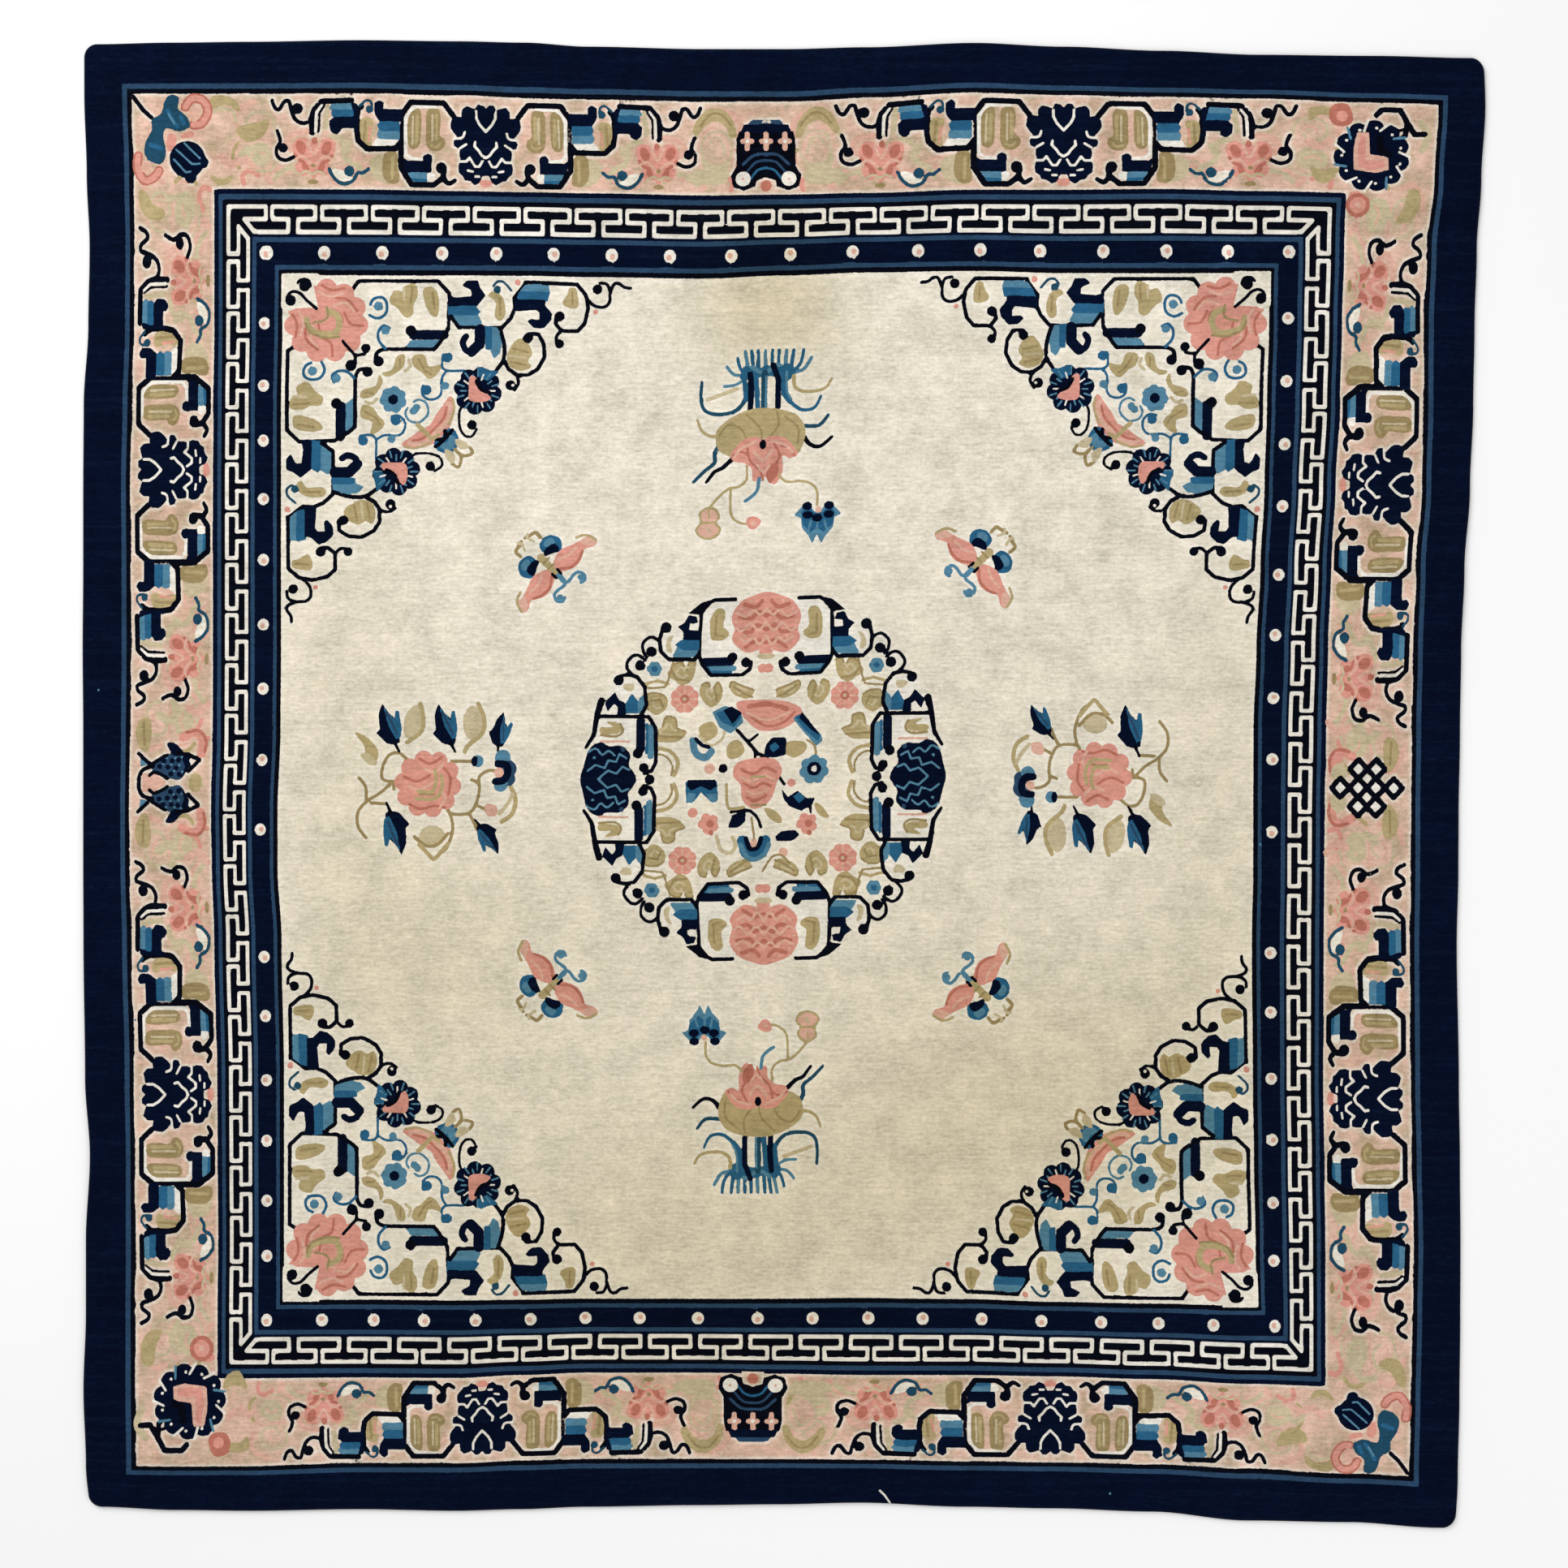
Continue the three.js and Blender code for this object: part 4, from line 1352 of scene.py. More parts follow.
@dataclass(frozen=True)
class FieldButterfly:
    """The four butterflies between the corners and the medallion, mirrored about their own diagonal."""

    places: tuple[tuple[float, float, float, float], ...] = (
        (-269.6, 271.4, 1, 1), (256.0, 274.0, -1, 1), (-266.6, -243.4, 1, -1), (260.0, -248.0, -1, -1),
    )

    def draw(self, chart: Chart) -> None:
        """Paints each wing and its mirror image, then the body."""
        spots = tuple(Spot(u, v, (side, 0), (0, -end)) for u, v, side, end in self.places)
        wings = Brush(chart, spots + tuple(spot.swapped() for spot in spots))
        wings.blob(Yarn.PINK, "2,-6 10,-22 26,-30 46,-40 56,-36 52,-28 40,-24 36,-10 26,0 8,4")
        wings.blob(Yarn.BLUSH, "34,-34 46,-41 56,-36 50,-29 40,-30")
        wings.bend(Yarn.ROSE, 3.4, "10,0 24,-2 34,-12 38,-22")
        wings.bend(Yarn.BLUSH, 3, "8,-12 20,-16 30,-26")
        wings.bend(Yarn.GOLD, 3.4, "30,-38 42,-42 54,-36")
        wings.blob(Yarn.BLUE, "-15,-30 -8,-39 2,-41 11,-36 12,-24 4,-19 -8,-18 -14,-24")
        wings.blob(Yarn.SKY, "-10,-32 -2,-38 4,-34 0,-28 -8,-26")
        wings.blob(Yarn.NAVY, "-9,-22 0,-30 8,-28 9,-21 0,-18 -8,-15")
        wings.bend(Yarn.OLIVE, 4.4, "-14,-38 -20,-44 -27,-40 -33,-37")
        wings.bend(Yarn.CELADON, 3.4, "-33,-22 -37,-30 -42,-30")
        wings.bend(Yarn.SKY, 4, "8,8 14,16 21,16 27,8 33,4 40,7 41,14 36,17")
        wings.dot(Yarn.SKY, 36, 11, 4)
        body = Brush(chart, spots)
        body.line(Yarn.GOLD, 10, "-13,-13 4,4", end=8)
        body.line(Yarn.OLIVE, 2.6, "-10,-6 -3,-13", "-3,0 3,-6")
        body.line(Yarn.BLACK, 3.6, "1,7 6,12", "7,1 12,6")


@dataclass(frozen=True)
class Vase:
    """The dark vase in the middle of the border at either end, between golden arches."""

    def draw(self, chart: Chart) -> None:
        """Paints both vases, with their halves mirrored."""
        spots = (Spot(-13, GROUND_V, (1, 0), (0, -INWARDS)), Spot(-22, -GROUND_V, (1, 0), (0, 0.95)))
        brush = Brush(chart, spots + tuple(spot.mirrored() for spot in spots))
        brush.blob(Yarn.GOLD, "36,42 41,22 54,9 70,9 82,20 90,36 84,42 74,30 62,24 50,30 43,44")
        brush.bend(Yarn.OLIVE, 3, "42,30 54,16 68,16 80,30")
        brush.oval(Yarn.CELADON, 60, 58, 20, 23)
        brush.oval(Yarn.PEACH, 60, 58, 17.5, 20.5)
        brush.bend(Yarn.CELADON, 3, "50,66 54,50 62,44 70,52")
        brush.blob(Yarn.CELADON, "46,86 70,82 92,88 98,97 80,103 52,102")
        brush.area(Yarn.BLACK, "-2,34 33,36 36,48 36,80 43,92 40,106 27,111 15,106 -2,108")
        brush.area(Yarn.SLATE, "-2,22 17,22 25,31 -2,32")
        brush.area(Yarn.NAVY, "-2,28 27,28 31,38 -2,39")
        brush.area(Yarn.PEACH, "-2,94 12,98 14,114 -2,114")
        for x in (0, 23):
            brush.line(Yarn.BLUSH, 6.4, f"{x},40 {x},58")
            brush.line(Yarn.BLUSH, 6.4, f"{x - 5.5},49 {x + 5.5},49")
            brush.dot(Yarn.IVORY, x, 49, 2.6)
        brush.bend(Yarn.SLATE, 3.6, "-2,65 14,66 28,78")
        brush.bend(Yarn.SLATE, 3, "-2,73 12,75 24,88")
        brush.bend(Yarn.BLUE, 3, "-2,82 10,85 18,95")
        brush.dot(Yarn.IVORY, 28, 96, 9.2)
        brush.dot(Yarn.BLUSH, 28, 96, 2)
        brush.dot(Yarn.ROSE, 0, 105, 7)


@dataclass(frozen=True)
class Scrolls:
    """The faint cloud scrolls of the border's ground, in yarns close to its own."""

    def draw(self, chart: Chart) -> None:
        """Paints a group at either end of every border ornament."""
        brush = Brush(chart, tuple(BorderUnit().halves()))
        brush.bend(Yarn.CELADON, 7, "170,68 178,56 190,52 194,60")
        brush.bend(Yarn.BLUSH, 3, "130,84 146,76 164,82 176,94 166,106")
        brush.bend(Yarn.CELADON, 3.4, "262,44 266,28 284,22 300,30 298,46 282,52 274,42")
        brush.blob(Yarn.CELADON, "272,62 288,60 302,70 298,84 280,88 268,78")
        brush.bend(Yarn.BLUSH, 8, "244,96 260,90 274,98 268,108")
        brush.bend(Yarn.PINK, 6, "284,100 296,94 306,100 304,110")
        brush.bend(Yarn.BLUSH, 7, "290,10 306,16 316,28 312,42")
        brush.bend(Yarn.BLUSH, 2.8, "264,56 282,56 300,54 312,64 310,80")
        brush.bend(Yarn.CELADON, 2.8, "258,84 270,94 288,94")
        brush.bend(Yarn.BLUSH, 3, "274,36 282,32 290,38", "276,74 286,70 294,76")
        brush.bend(Yarn.GOLD, 5, "312,60 318,70 318,82 310,90")
        brush.bend(Yarn.BLUSH, 4, "136,92 150,86 162,94 156,104")


@dataclass(frozen=True)
class BorderCorners:
    """The border's corners: a melon under a blue leaf in two of them, a great blossom in the others."""

    def draw(self, chart: Chart) -> None:
        """Paints each kind in its corner and, turned round, in the opposite one."""
        melons = (
            Spot(-GROUND_U, GROUND_V, (1.04, 0), (0, -INWARDS)),
            Spot(GROUND_U, -GROUND_V, (-1, 0), (0, INWARDS)),
        )
        blossoms = (Spot(GROUND_U, GROUND_V, (-1, 0), (0, -INWARDS)), Spot(-809, -820, (1.04, 0), (0, 1)))
        self.melon(Brush(chart, melons))
        self.blossom(Brush(chart, blossoms))

    def melon(self, brush: Brush) -> None:
        """The melon, the leaf and its stalk, and the curls and cups round them."""
        brush.blob(Yarn.GOLD, "98,4 118,3 132,10 134,22 120,14 104,16 96,20")
        brush.bend(Yarn.CELADON, 4, "100,22 112,18 126,22 130,34")
        brush.blob(Yarn.GOLD, "130,42 150,36 172,32 166,50 152,58 138,56",
            "96,98 112,104 126,98 120,110 104,110", "6,118 16,120 24,134 40,142 34,152 18,151 8,138")
        brush.bend(Yarn.BLUSH, 10, "110,76 124,86 140,80 152,90")
        brush.bend(Yarn.CELADON, 8, "136,74 146,66 158,74", "44,128 60,126 70,142 66,160")
        brush.bend(Yarn.ROSE, 12, "66,16 74,6 88,8 94,22 86,36 76,38")
        brush.bend(Yarn.PINK, 7, "66,16 74,6 88,8 94,22 86,36 76,38")
        brush.oval(Yarn.BLUSH, 77, 25, 7, 9)
        brush.bend(Yarn.ROSE, 12, "6,76 5,92 14,106 26,102 32,94")
        brush.bend(Yarn.PINK, 7, "6,76 5,92 14,106 26,102 32,94")
        brush.oval(Yarn.BLUSH, 16, 90, 7, 7)
        brush.blob(Yarn.PINK, "46,48 54,52 52,66 44,70 42,58", "60,50 74,46 76,52 62,55")
        brush.blob(Yarn.TEAL, "46,2 58,4 57,18 68,28 71,40 58,46 42,42 38,52 41,70 37,84 24,84 14,74"
                              " 16,58 24,44 24,32 36,24 40,10")
        brush.bend(Yarn.BLUE, 5, "44,20 50,32 56,40", "60,28 64,36")
        brush.bend(Yarn.BLUE, 6, "22,62 34,66")
        brush.line(Yarn.SKY, 2.6, "45,24 52,36")
        brush.line(Yarn.BLACK, 5.4, "2,4 14,20 24,29")
        brush.dot(Yarn.NAVY, 68, 80, 22.5)
        brush.dot(Yarn.NAVY, 88, 84, 7)
        brush.dot(Yarn.NAVY, 72, 102, 7.5)
        brush.line(Yarn.SKY, 2.4, "54,68 74,86 84,85", "64,60 84,79", "51,80 66,96 72,95")

    def blossom(self, brush: Brush) -> None:
        """The navy blossom with its pink heart, twigs, curls and cups."""
        brush.blob(Yarn.GOLD, "152,10 132,6 114,12 112,28 122,20 140,18 150,26",
            "150,84 134,88 118,84 124,100 140,104", "30,112 18,112 14,130 24,150 42,152 34,134")
        brush.bend(Yarn.CELADON, 9, "20,24 10,40 16,60", "60,128 54,144 62,160")
        brush.bend(Yarn.BLUSH, 10, "126,50 140,58 152,52")
        brush.blob(Yarn.ROSE, "99,22 106,30 120,30 127,22 126,8 116,2 104,4")
        brush.dot(Yarn.PINK, 112, 18, 7)
        brush.dot(Yarn.ROSE, 91, 131, 15)
        brush.dot(Yarn.PINK, 91, 131, 10)
        brush.dot(Yarn.BLUSH, 91, 131, 4)
        brush.line(Yarn.BLACK, 7, "72,16 66,9 44,9 36,24 26,40 14,39")
        brush.line(Yarn.BLACK, 6.4, "36,26 37,42 50,52")
        brush.line(Yarn.BLACK, 4, "36,32 56,41")
        brush.scallop(Yarn.NAVY, 76, 68, 46, 11, 12, 4)
        for index in range(11):
            angle = math.radians(20 + 360 / 11 * index)
            c, s = math.cos(angle), math.sin(angle)
            rim = ((76 + 33 * c - 3 * s, 68 + 33 * s + 3 * c), (76 + 46 * c + 4 * s, 68 + 46 * s - 4 * c))
            brush.stroke(Yarn.IVORY if index % 3 else Yarn.SKY, np.array(rim, np.float32), 3)
            brush.dot(Yarn.IVORY, 76 + 35 * c - 8 * s, 68 + 35 * s + 8 * c, 2)
        brush.area(Yarn.BLUSH, "55,86 70,90 97,86 98,60 94,38 80,38 78,66 56,70")
        brush.area(Yarn.PINK, "60,83 76,86 92,82 93,62 90,42 84,42 83,74 61,74")
        brush.line(Yarn.BLACK, 9, "67,46 65,62 56,66")


@dataclass(frozen=True)
class SideEmblems:
    """The emblems in the middle of the long borders: a pair of fish, and the endless knot."""

    diamonds: tuple[tuple[float, float], ...] = (
        (-10, -23), (12, -23), (-32, 0), (-10, 0), (12, 0), (34, 0), (-10, 23), (12, 23),
    )

    def draw(self, chart: Chart) -> None:
        """Paints both emblems with the golden and rosy scrolls about them."""
        left = Spot(-GROUND_U, 6, (1.06, 0), (0, -1))
        self.scrolls(Brush(chart, (left, Spot(left.u, left.v, left.right, (0, 1)))))
        self.fish(Brush(chart, (left, Spot(left.u, left.v, left.right, (0, 1)))))
        self.scrolls(Brush(chart, (Spot(791, 21, (-1, 0), (0, -1)), Spot(791, -15, (-1, 0), (0, 1)))))
        self.knot(Brush(chart, (Spot(745, 3, (1, 0), (0, -1)),)))

    def scrolls(self, brush: Brush) -> None:
        """Curls and cups above; the mirror image stands below."""
        brush.blob(Yarn.GOLD, "10,76 22,80 26,64 22,40 14,40 6,58")
        brush.line(Yarn.OLIVE, 3, "16,74 17,46")
        brush.bend(Yarn.CELADON, 9, "34,84 46,76 56,84 52,100")
        brush.bend(Yarn.PINK, 11, "64,56 78,62 88,54 87,36")
        brush.bend(Yarn.ROSE, 4, "68,62 84,64 92,52 91,38")
        brush.bend(Yarn.BLUSH, 9, "70,92 84,86 94,98")
        brush.oval(Yarn.CELADON, 80, 0, 10, 12)

    def fish(self, brush: Brush) -> None:
        """A scaled fish whose mirror image swims below it, joined by a black ring."""
        brush.oval(Yarn.GOLD, 80, 0, 8, 12)
        brush.area(Yarn.BLUSH, "16,-2 15,11 28,12 44,2 44,-2")
        brush.blob(Yarn.SLATE, "26,20 38,30 50,36 62,35 70,25 68,13 61,3 50,5 38,8 30,13")
        brush.blob(Yarn.NAVY, "44,49 53,49 60,43 66,35 54,33 48,40")
        brush.area(Yarn.NAVY, "60,37 68,36 76,27 69,14 62,4 67,20")
        brush.line(Yarn.BLACK, 5, "58,36 70,35 85,28 71,14")
        brush.area(Yarn.IVORY, "72,29 79,28 73,22")
        brush.area(Yarn.SKY, "12,32 24,23 13,20")
        brush.line(Yarn.BLACK, 4.8, "10,36 25,22 44,34")
        brush.bend(Yarn.BLACK, 5, "28,20 16,16 11,6 11,-6")
        brush.bend(Yarn.BLACK, 4.4, "24,9 30,13 40,9 46,5")
        for x, y in ((36, 20), (46, 19), (56, 18), (41, 27), (51, 27), (59, 28), (50, 11), (60, 10)):
            brush.dot(Yarn.NAVY, x, y, 3.2)
            brush.dot(Yarn.SKY, x + 4, y + 3.5, 1.6)

    def knot(self, brush: Brush) -> None:
        """The endless knot, as a lattice of lozenges."""
        for x, y in self.diamonds:
            brush.area(Yarn.IVORY, f"{x - 11},{y} {x},{y - 12} {x + 11},{y} {x},{y + 12}")
        for x, y in self.diamonds:
            brush.line(Yarn.BLACK, 6.6, f"{x - 11},{y} {x},{y - 12} {x + 11},{y} {x},{y + 12} {x - 11},{y}")
        for y in (-11.5, 11.5):
            brush.dot(Yarn.IVORY, 1, y, 4)


@dataclass(frozen=True)
class StrayBits:
    """The pale ends of a warp at the lower edge and a few light knots in the navy."""

    specks: tuple[tuple[float, float], ...] = ((-798, -287), (611, -67), (-840, 120), (420, -868))

    def draw(self, chart: Chart) -> None:
        """Paints them."""
        brush = Brush(chart, (Spot(0, 0, (1, 0), (0, 1)),))
        brush.line(Yarn.IVORY, 3, "135,-872 141,-878 148,-889", end=2.2)
        for u, v in self.specks:
            brush.dot(Yarn.SKY, u, v, 1.6)


class Wire:
    """A shader socket to reckon with: each operator adds the Math node that works it out."""

    def __init__(self, graph: "Graph", socket: bpy.types.NodeSocket) -> None:
        """Holds an output socket of a graph."""
        self.graph = graph
        self.socket = socket

    def __add__(self, other: Value) -> "Wire":
        """Sum."""
        return self.graph.math("ADD", self, other)

    __radd__ = __add__

    def __mul__(self, other: Value) -> "Wire":
        """Product."""
        return self.graph.math("MULTIPLY", self, other)

    __rmul__ = __mul__

    def __sub__(self, other: Value) -> "Wire":
        """Difference."""
        return self.graph.math("SUBTRACT", self, other)

    def __rsub__(self, other: Value) -> "Wire":
        """Difference, turned round."""
        return self.graph.math("SUBTRACT", other, self)

    def greatest(self, other: Value) -> "Wire":
        """The greater of the two."""
        return self.graph.math("MAXIMUM", self, other)

    def ramp(self, low: float, high: float) -> "Wire":
        """Runs from 0 at low to 1 at high, eased at both ends."""
        node = self.graph.add("ShaderNodeMapRange", {"Value": self, "From Min": low, "From Max": high},
                              interpolation_type="SMOOTHSTEP")
        return Wire(self.graph, node.outputs["Result"])


class Graph:
    """A material's node tree and the one place where its nodes are made."""

    def __init__(self, name: str) -> None:
        """Starts an empty material."""
        self.material = bpy.data.materials.new(name)
        self.material.use_nodes = True
        self.material.node_tree.nodes.clear()

    def add(self, kind: str, inputs: dict[str | int, object], **settings: object) -> bpy.types.Node:
        """Adds a node.

        Args:
            kind: the node's type.
            inputs: a value or a wire for each named or numbered socket.
            **settings: the node's own settings, set first.

        Returns:
            The node.
        """
        tree = self.material.node_tree
        node = tree.nodes.new(kind)
        for name, value in settings.items():
            setattr(node, name, value)
        for name, value in inputs.items():
            if isinstance(value, Wire):
                tree.links.new(value.socket, node.inputs[name])
            else:
                node.inputs[name].default_value = value
        return node

    def math(self, operation: str, *values: Value) -> Wire:
        """A Math node on up to three values."""
        node = self.add("ShaderNodeMath", dict(enumerate(values)), operation=operation)
        return Wire(self, node.outputs[0])

    def parts(self, kind: str, socket: str, vector: Wire) -> tuple[Wire, Wire, Wire]:
        """The three parts of a vector or colour."""
        node = self.add(kind, {socket: vector})
        return tuple(Wire(self, output) for output in node.outputs[:3])

    def attribute(self, name: str) -> bpy.types.Node:
        """An attribute of the mesh."""
        return self.add("ShaderNodeAttribute", {}, attribute_name=name)

    def mix(self, share: Value, start: object, end: object, blend: str = "MIX") -> Wire:
        """A colour between two, or a blend of them."""
        node = self.add("ShaderNodeMix", {0: share, 6: start, 7: end}, data_type="RGBA", blend_type=blend)
        return Wire(self, node.outputs[2])

    def grain(self, place: Wire, scale: float, detail: float = 2.0, roughness: float = 0.5) -> Wire:
        """The grey of a noise."""
        return Wire(self, self.noise(place, scale, detail, roughness).outputs[0])

    def noise(
        self, place: Wire, scale: float, detail: float = 2.0, roughness: float = 0.5
    ) -> bpy.types.Node:
        """A noise texture."""
        return self.add("ShaderNodeTexNoise",
                        {"Vector": place, "Scale": scale, "Detail": detail, "Roughness": roughness})

    def stretched(self, place: Wire, scale: tuple[float, float, float]) -> Wire:
        """The place, scaled apart on each axis."""
        node = self.add("ShaderNodeMapping", {"Vector": place, "Scale": scale})
        return Wire(self, node.outputs[0])

    def surface(self, shader: bpy.types.Node) -> bpy.types.Material:
        """Finishes the material with its shader."""
        self.add("ShaderNodeOutputMaterial", {"Surface": Wire(self, shader.outputs[0])})
        return self.material


@dataclass(frozen=True)
class WoolFinish:
    """Dyed wool, knotted in rows: the yarns of the chart with uneven dye, wear and a tufted nap."""

    name: str
    tuft: float = 0.0026  # metres from knot to knot
    wander: float = 0.75  # squares that a knotted outline strays
    nap: float = 0.0011  # metres of bump
    rows: float = 0.5  # share of the bump that follows the weft
    rough: float = 0.92
    pale: tuple[float, float, float, float] = (0.800, 0.750, 0.650, 1)
    sand: tuple[float, float, float, float] = (0.470, 0.360, 0.235, 1)
    dust: tuple[float, float, float, float] = (0.060, 0.150, 0.300, 1)
    tan: tuple[float, float, float, float] = (0.800, 0.765, 0.647, 1)
    streak: float = 0.32  # how much each texture counts in the shade
    weft: float = 0.54
    speck: float = 0.78
    cloud: float = 0.98
    darken: float = 0.32  # taken off their sum, so that the shade stays near 1
    fading: float = 0.035  # share of dust on the palest tips

    def place(self, graph: Graph) -> Wire:
        """The point on the rug, in metres."""
        return Wire(graph, graph.add("ShaderNodeTexCoord", {}).outputs["Object"])

    def depths(self, graph: Graph, place: Wire) -> list[Wire]:
        """Each yarn's depth, strayed by a knot-sized noise of its own third."""
        knots = graph.noise(graph.stretched(place, (1, 0.8, 0)), 0.5 / self.tuft, 1.0)
        stray = graph.parts("ShaderNodeSeparateColor", "Color", Wire(graph, knots.outputs["Color"]))
        wires = []
        for group in range(len(Yarn) // 3):
            vector = Wire(graph, graph.attribute(f"yarns_{group}").outputs["Vector"])
            wires += graph.parts("ShaderNodeSeparateXYZ", "Vector", vector)
        strays = [(wire - 0.5) * (2 * self.wander) for wire in stray]
        return [wire + strays[(index * 2 + index // 3) % 3] for index, wire in enumerate(wires)]

    def dyed(self, graph: Graph, place: Wire) -> Wire:
        """The yarn colour: whichever yarn a point lies deepest in, softened over part of a square."""
        softness = 0.9
        yarns = list(Yarn)
        depths = self.depths(graph, place)
        best = depths[0]
        pale = 1 - (depths[0] - 0.6).ramp(0.0, 6.5)
        colour = graph.mix(pale * 0.75, (*yarns[0].colour, 1), self.pale)
        for yarn, depth in zip(yarns[1:], depths[1:]):
            share = (depth - best).ramp(-softness / 2, softness / 2)
            dye = (*yarn.colour, 1)
            if yarn is Yarn.PEACH:
                dye = self.ground(graph, place, depths)
            colour = graph.mix(share, colour, dye)
            best = best.greatest(depth)
        return colour

    def ground(self, graph: Graph, place: Wire, depths: list[Wire]) -> Wire:
        """The border's ground: peach that drifts to sand and rose, and pales by the dark outlines."""
        drift = graph.noise(place, 24.0, 6.0, 0.75)
        sandy = Wire(graph, drift.outputs[0]).ramp(0.38, 0.66)
        dye = graph.mix(sandy, (*Yarn.PEACH.colour, 1), self.sand)
        rosy = graph.parts("ShaderNodeSeparateColor", "Color", Wire(graph, drift.outputs["Color"]))[1]
        dye = graph.mix(rosy.ramp(0.48, 0.66) * 0.6, dye, (*Yarn.BLUSH.colour, 1))
        dark = depths[Yarn.NAVY.place].greatest(depths[Yarn.BLACK.place]).greatest(depths[Yarn.SLATE.place])
        return graph.mix(dark.ramp(-5.0, -0.5) * 0.6, dye, self.pale)

    def worn(self, graph: Graph, place: Wire, colour: Wire) -> Wire:
        """Dye streaks along the weft, tuft-sized specks, faded tips, and the field's tan patina."""
        streaks = graph.grain(graph.stretched(place, (0.5, 12, 0)), 6.0, 5.0, 0.65)
        wefts = graph.grain(graph.stretched(place, (0.25, 1, 0)), 0.5 / self.tuft, 2.0)
        specks = graph.grain(graph.stretched(place, (0.8, 1, 0)), 0.42 / self.tuft, 3.0, 0.8)
        clouds = graph.grain(place, 14.0, 6.0, 0.7)
        shade = streaks * self.streak + wefts * self.weft + specks * self.speck
        shade = shade + clouds * self.cloud - self.darken
        tones = {0: shade, 1: shade * 0.99 + 0.01, 2: shade * 1.13 - 0.13}
        white = graph.add("ShaderNodeCombineColor", tones)
        colour = graph.mix(1.0, colour, Wire(graph, white.outputs[0]), "MULTIPLY")
        faded = (streaks + wefts * 0.5 + specks * 0.5).ramp(0.95, 1.45)
        colour = graph.mix(faded * self.fading, colour, self.dust)
        patina = Wire(graph, graph.attribute("patina").outputs["Fac"])
        tan = (patina + (clouds - 0.5) * 0.9).ramp(0.0, 1.2)
        return graph.mix(tan, colour, graph.mix(1.0, colour, self.tan, "MULTIPLY"))

    def make(self) -> bpy.types.Material:
        """Builds the material."""
        graph = Graph(self.name)
        place = self.place(graph)
        colour = self.worn(graph, place, self.dyed(graph, place))
        tufts = graph.grain(place, 1 / self.tuft, 2.0, 0.6)
        weft = graph.grain(graph.stretched(place, (0.12, 1, 0)), 0.8 / self.tuft, 2.0)
        bump = graph.add("ShaderNodeBump", {
            "Strength": 0.7, "Distance": self.nap, "Height": tufts * (1 - self.rows) + weft * self.rows})
        shader = graph.add("ShaderNodeBsdfPrincipled", {
            "Base Color": colour, "Roughness": self.rough, "Specular IOR Level": 0.04,
            "Sheen Weight": 0.02, "Sheen Roughness": 0.5, "Normal": Wire(graph, bump.outputs[0])})
        return graph.surface(shader)


@dataclass(frozen=True)
class Patina:
    """Where the field has gone tan: soft patches, x and y from the middle of the box, half sizes in
    millimetres, turn in degrees, and how strong.
    """

    patches: tuple[tuple[float, float, float, float, float, float], ...] = (
        (0, -150, 850, 640, 0, 0.48),
        (-250, -900, 600, 330, 0, 0.75),
        (520, -620, 480, 300, 15, 0.75),
        (-25, 900, 150, 180, 0, 1.05),
        (-640, -360, 300, 260, 0, 0.4),
        (-830, 100, 160, 700, 0, 0.35),
        (820, 0, 160, 500, 0, 0.35),
    )

    def at(self, x: Array, y: Array) -> Array:
        """Sum of strength times a bell over the squared share outwards."""
        total = np.zeros_like(x)
        for px, py, long, wide, turn, strength in self.patches:
            c, s = math.cos(math.radians(turn)), math.sin(math.radians(turn))
            along, across = ((x - px) * c + (y - py) * s) / long, ((y - py) * c - (x - px) * s) / wide
            total += strength * np.exp(-(along**2 + across**2))
        return total


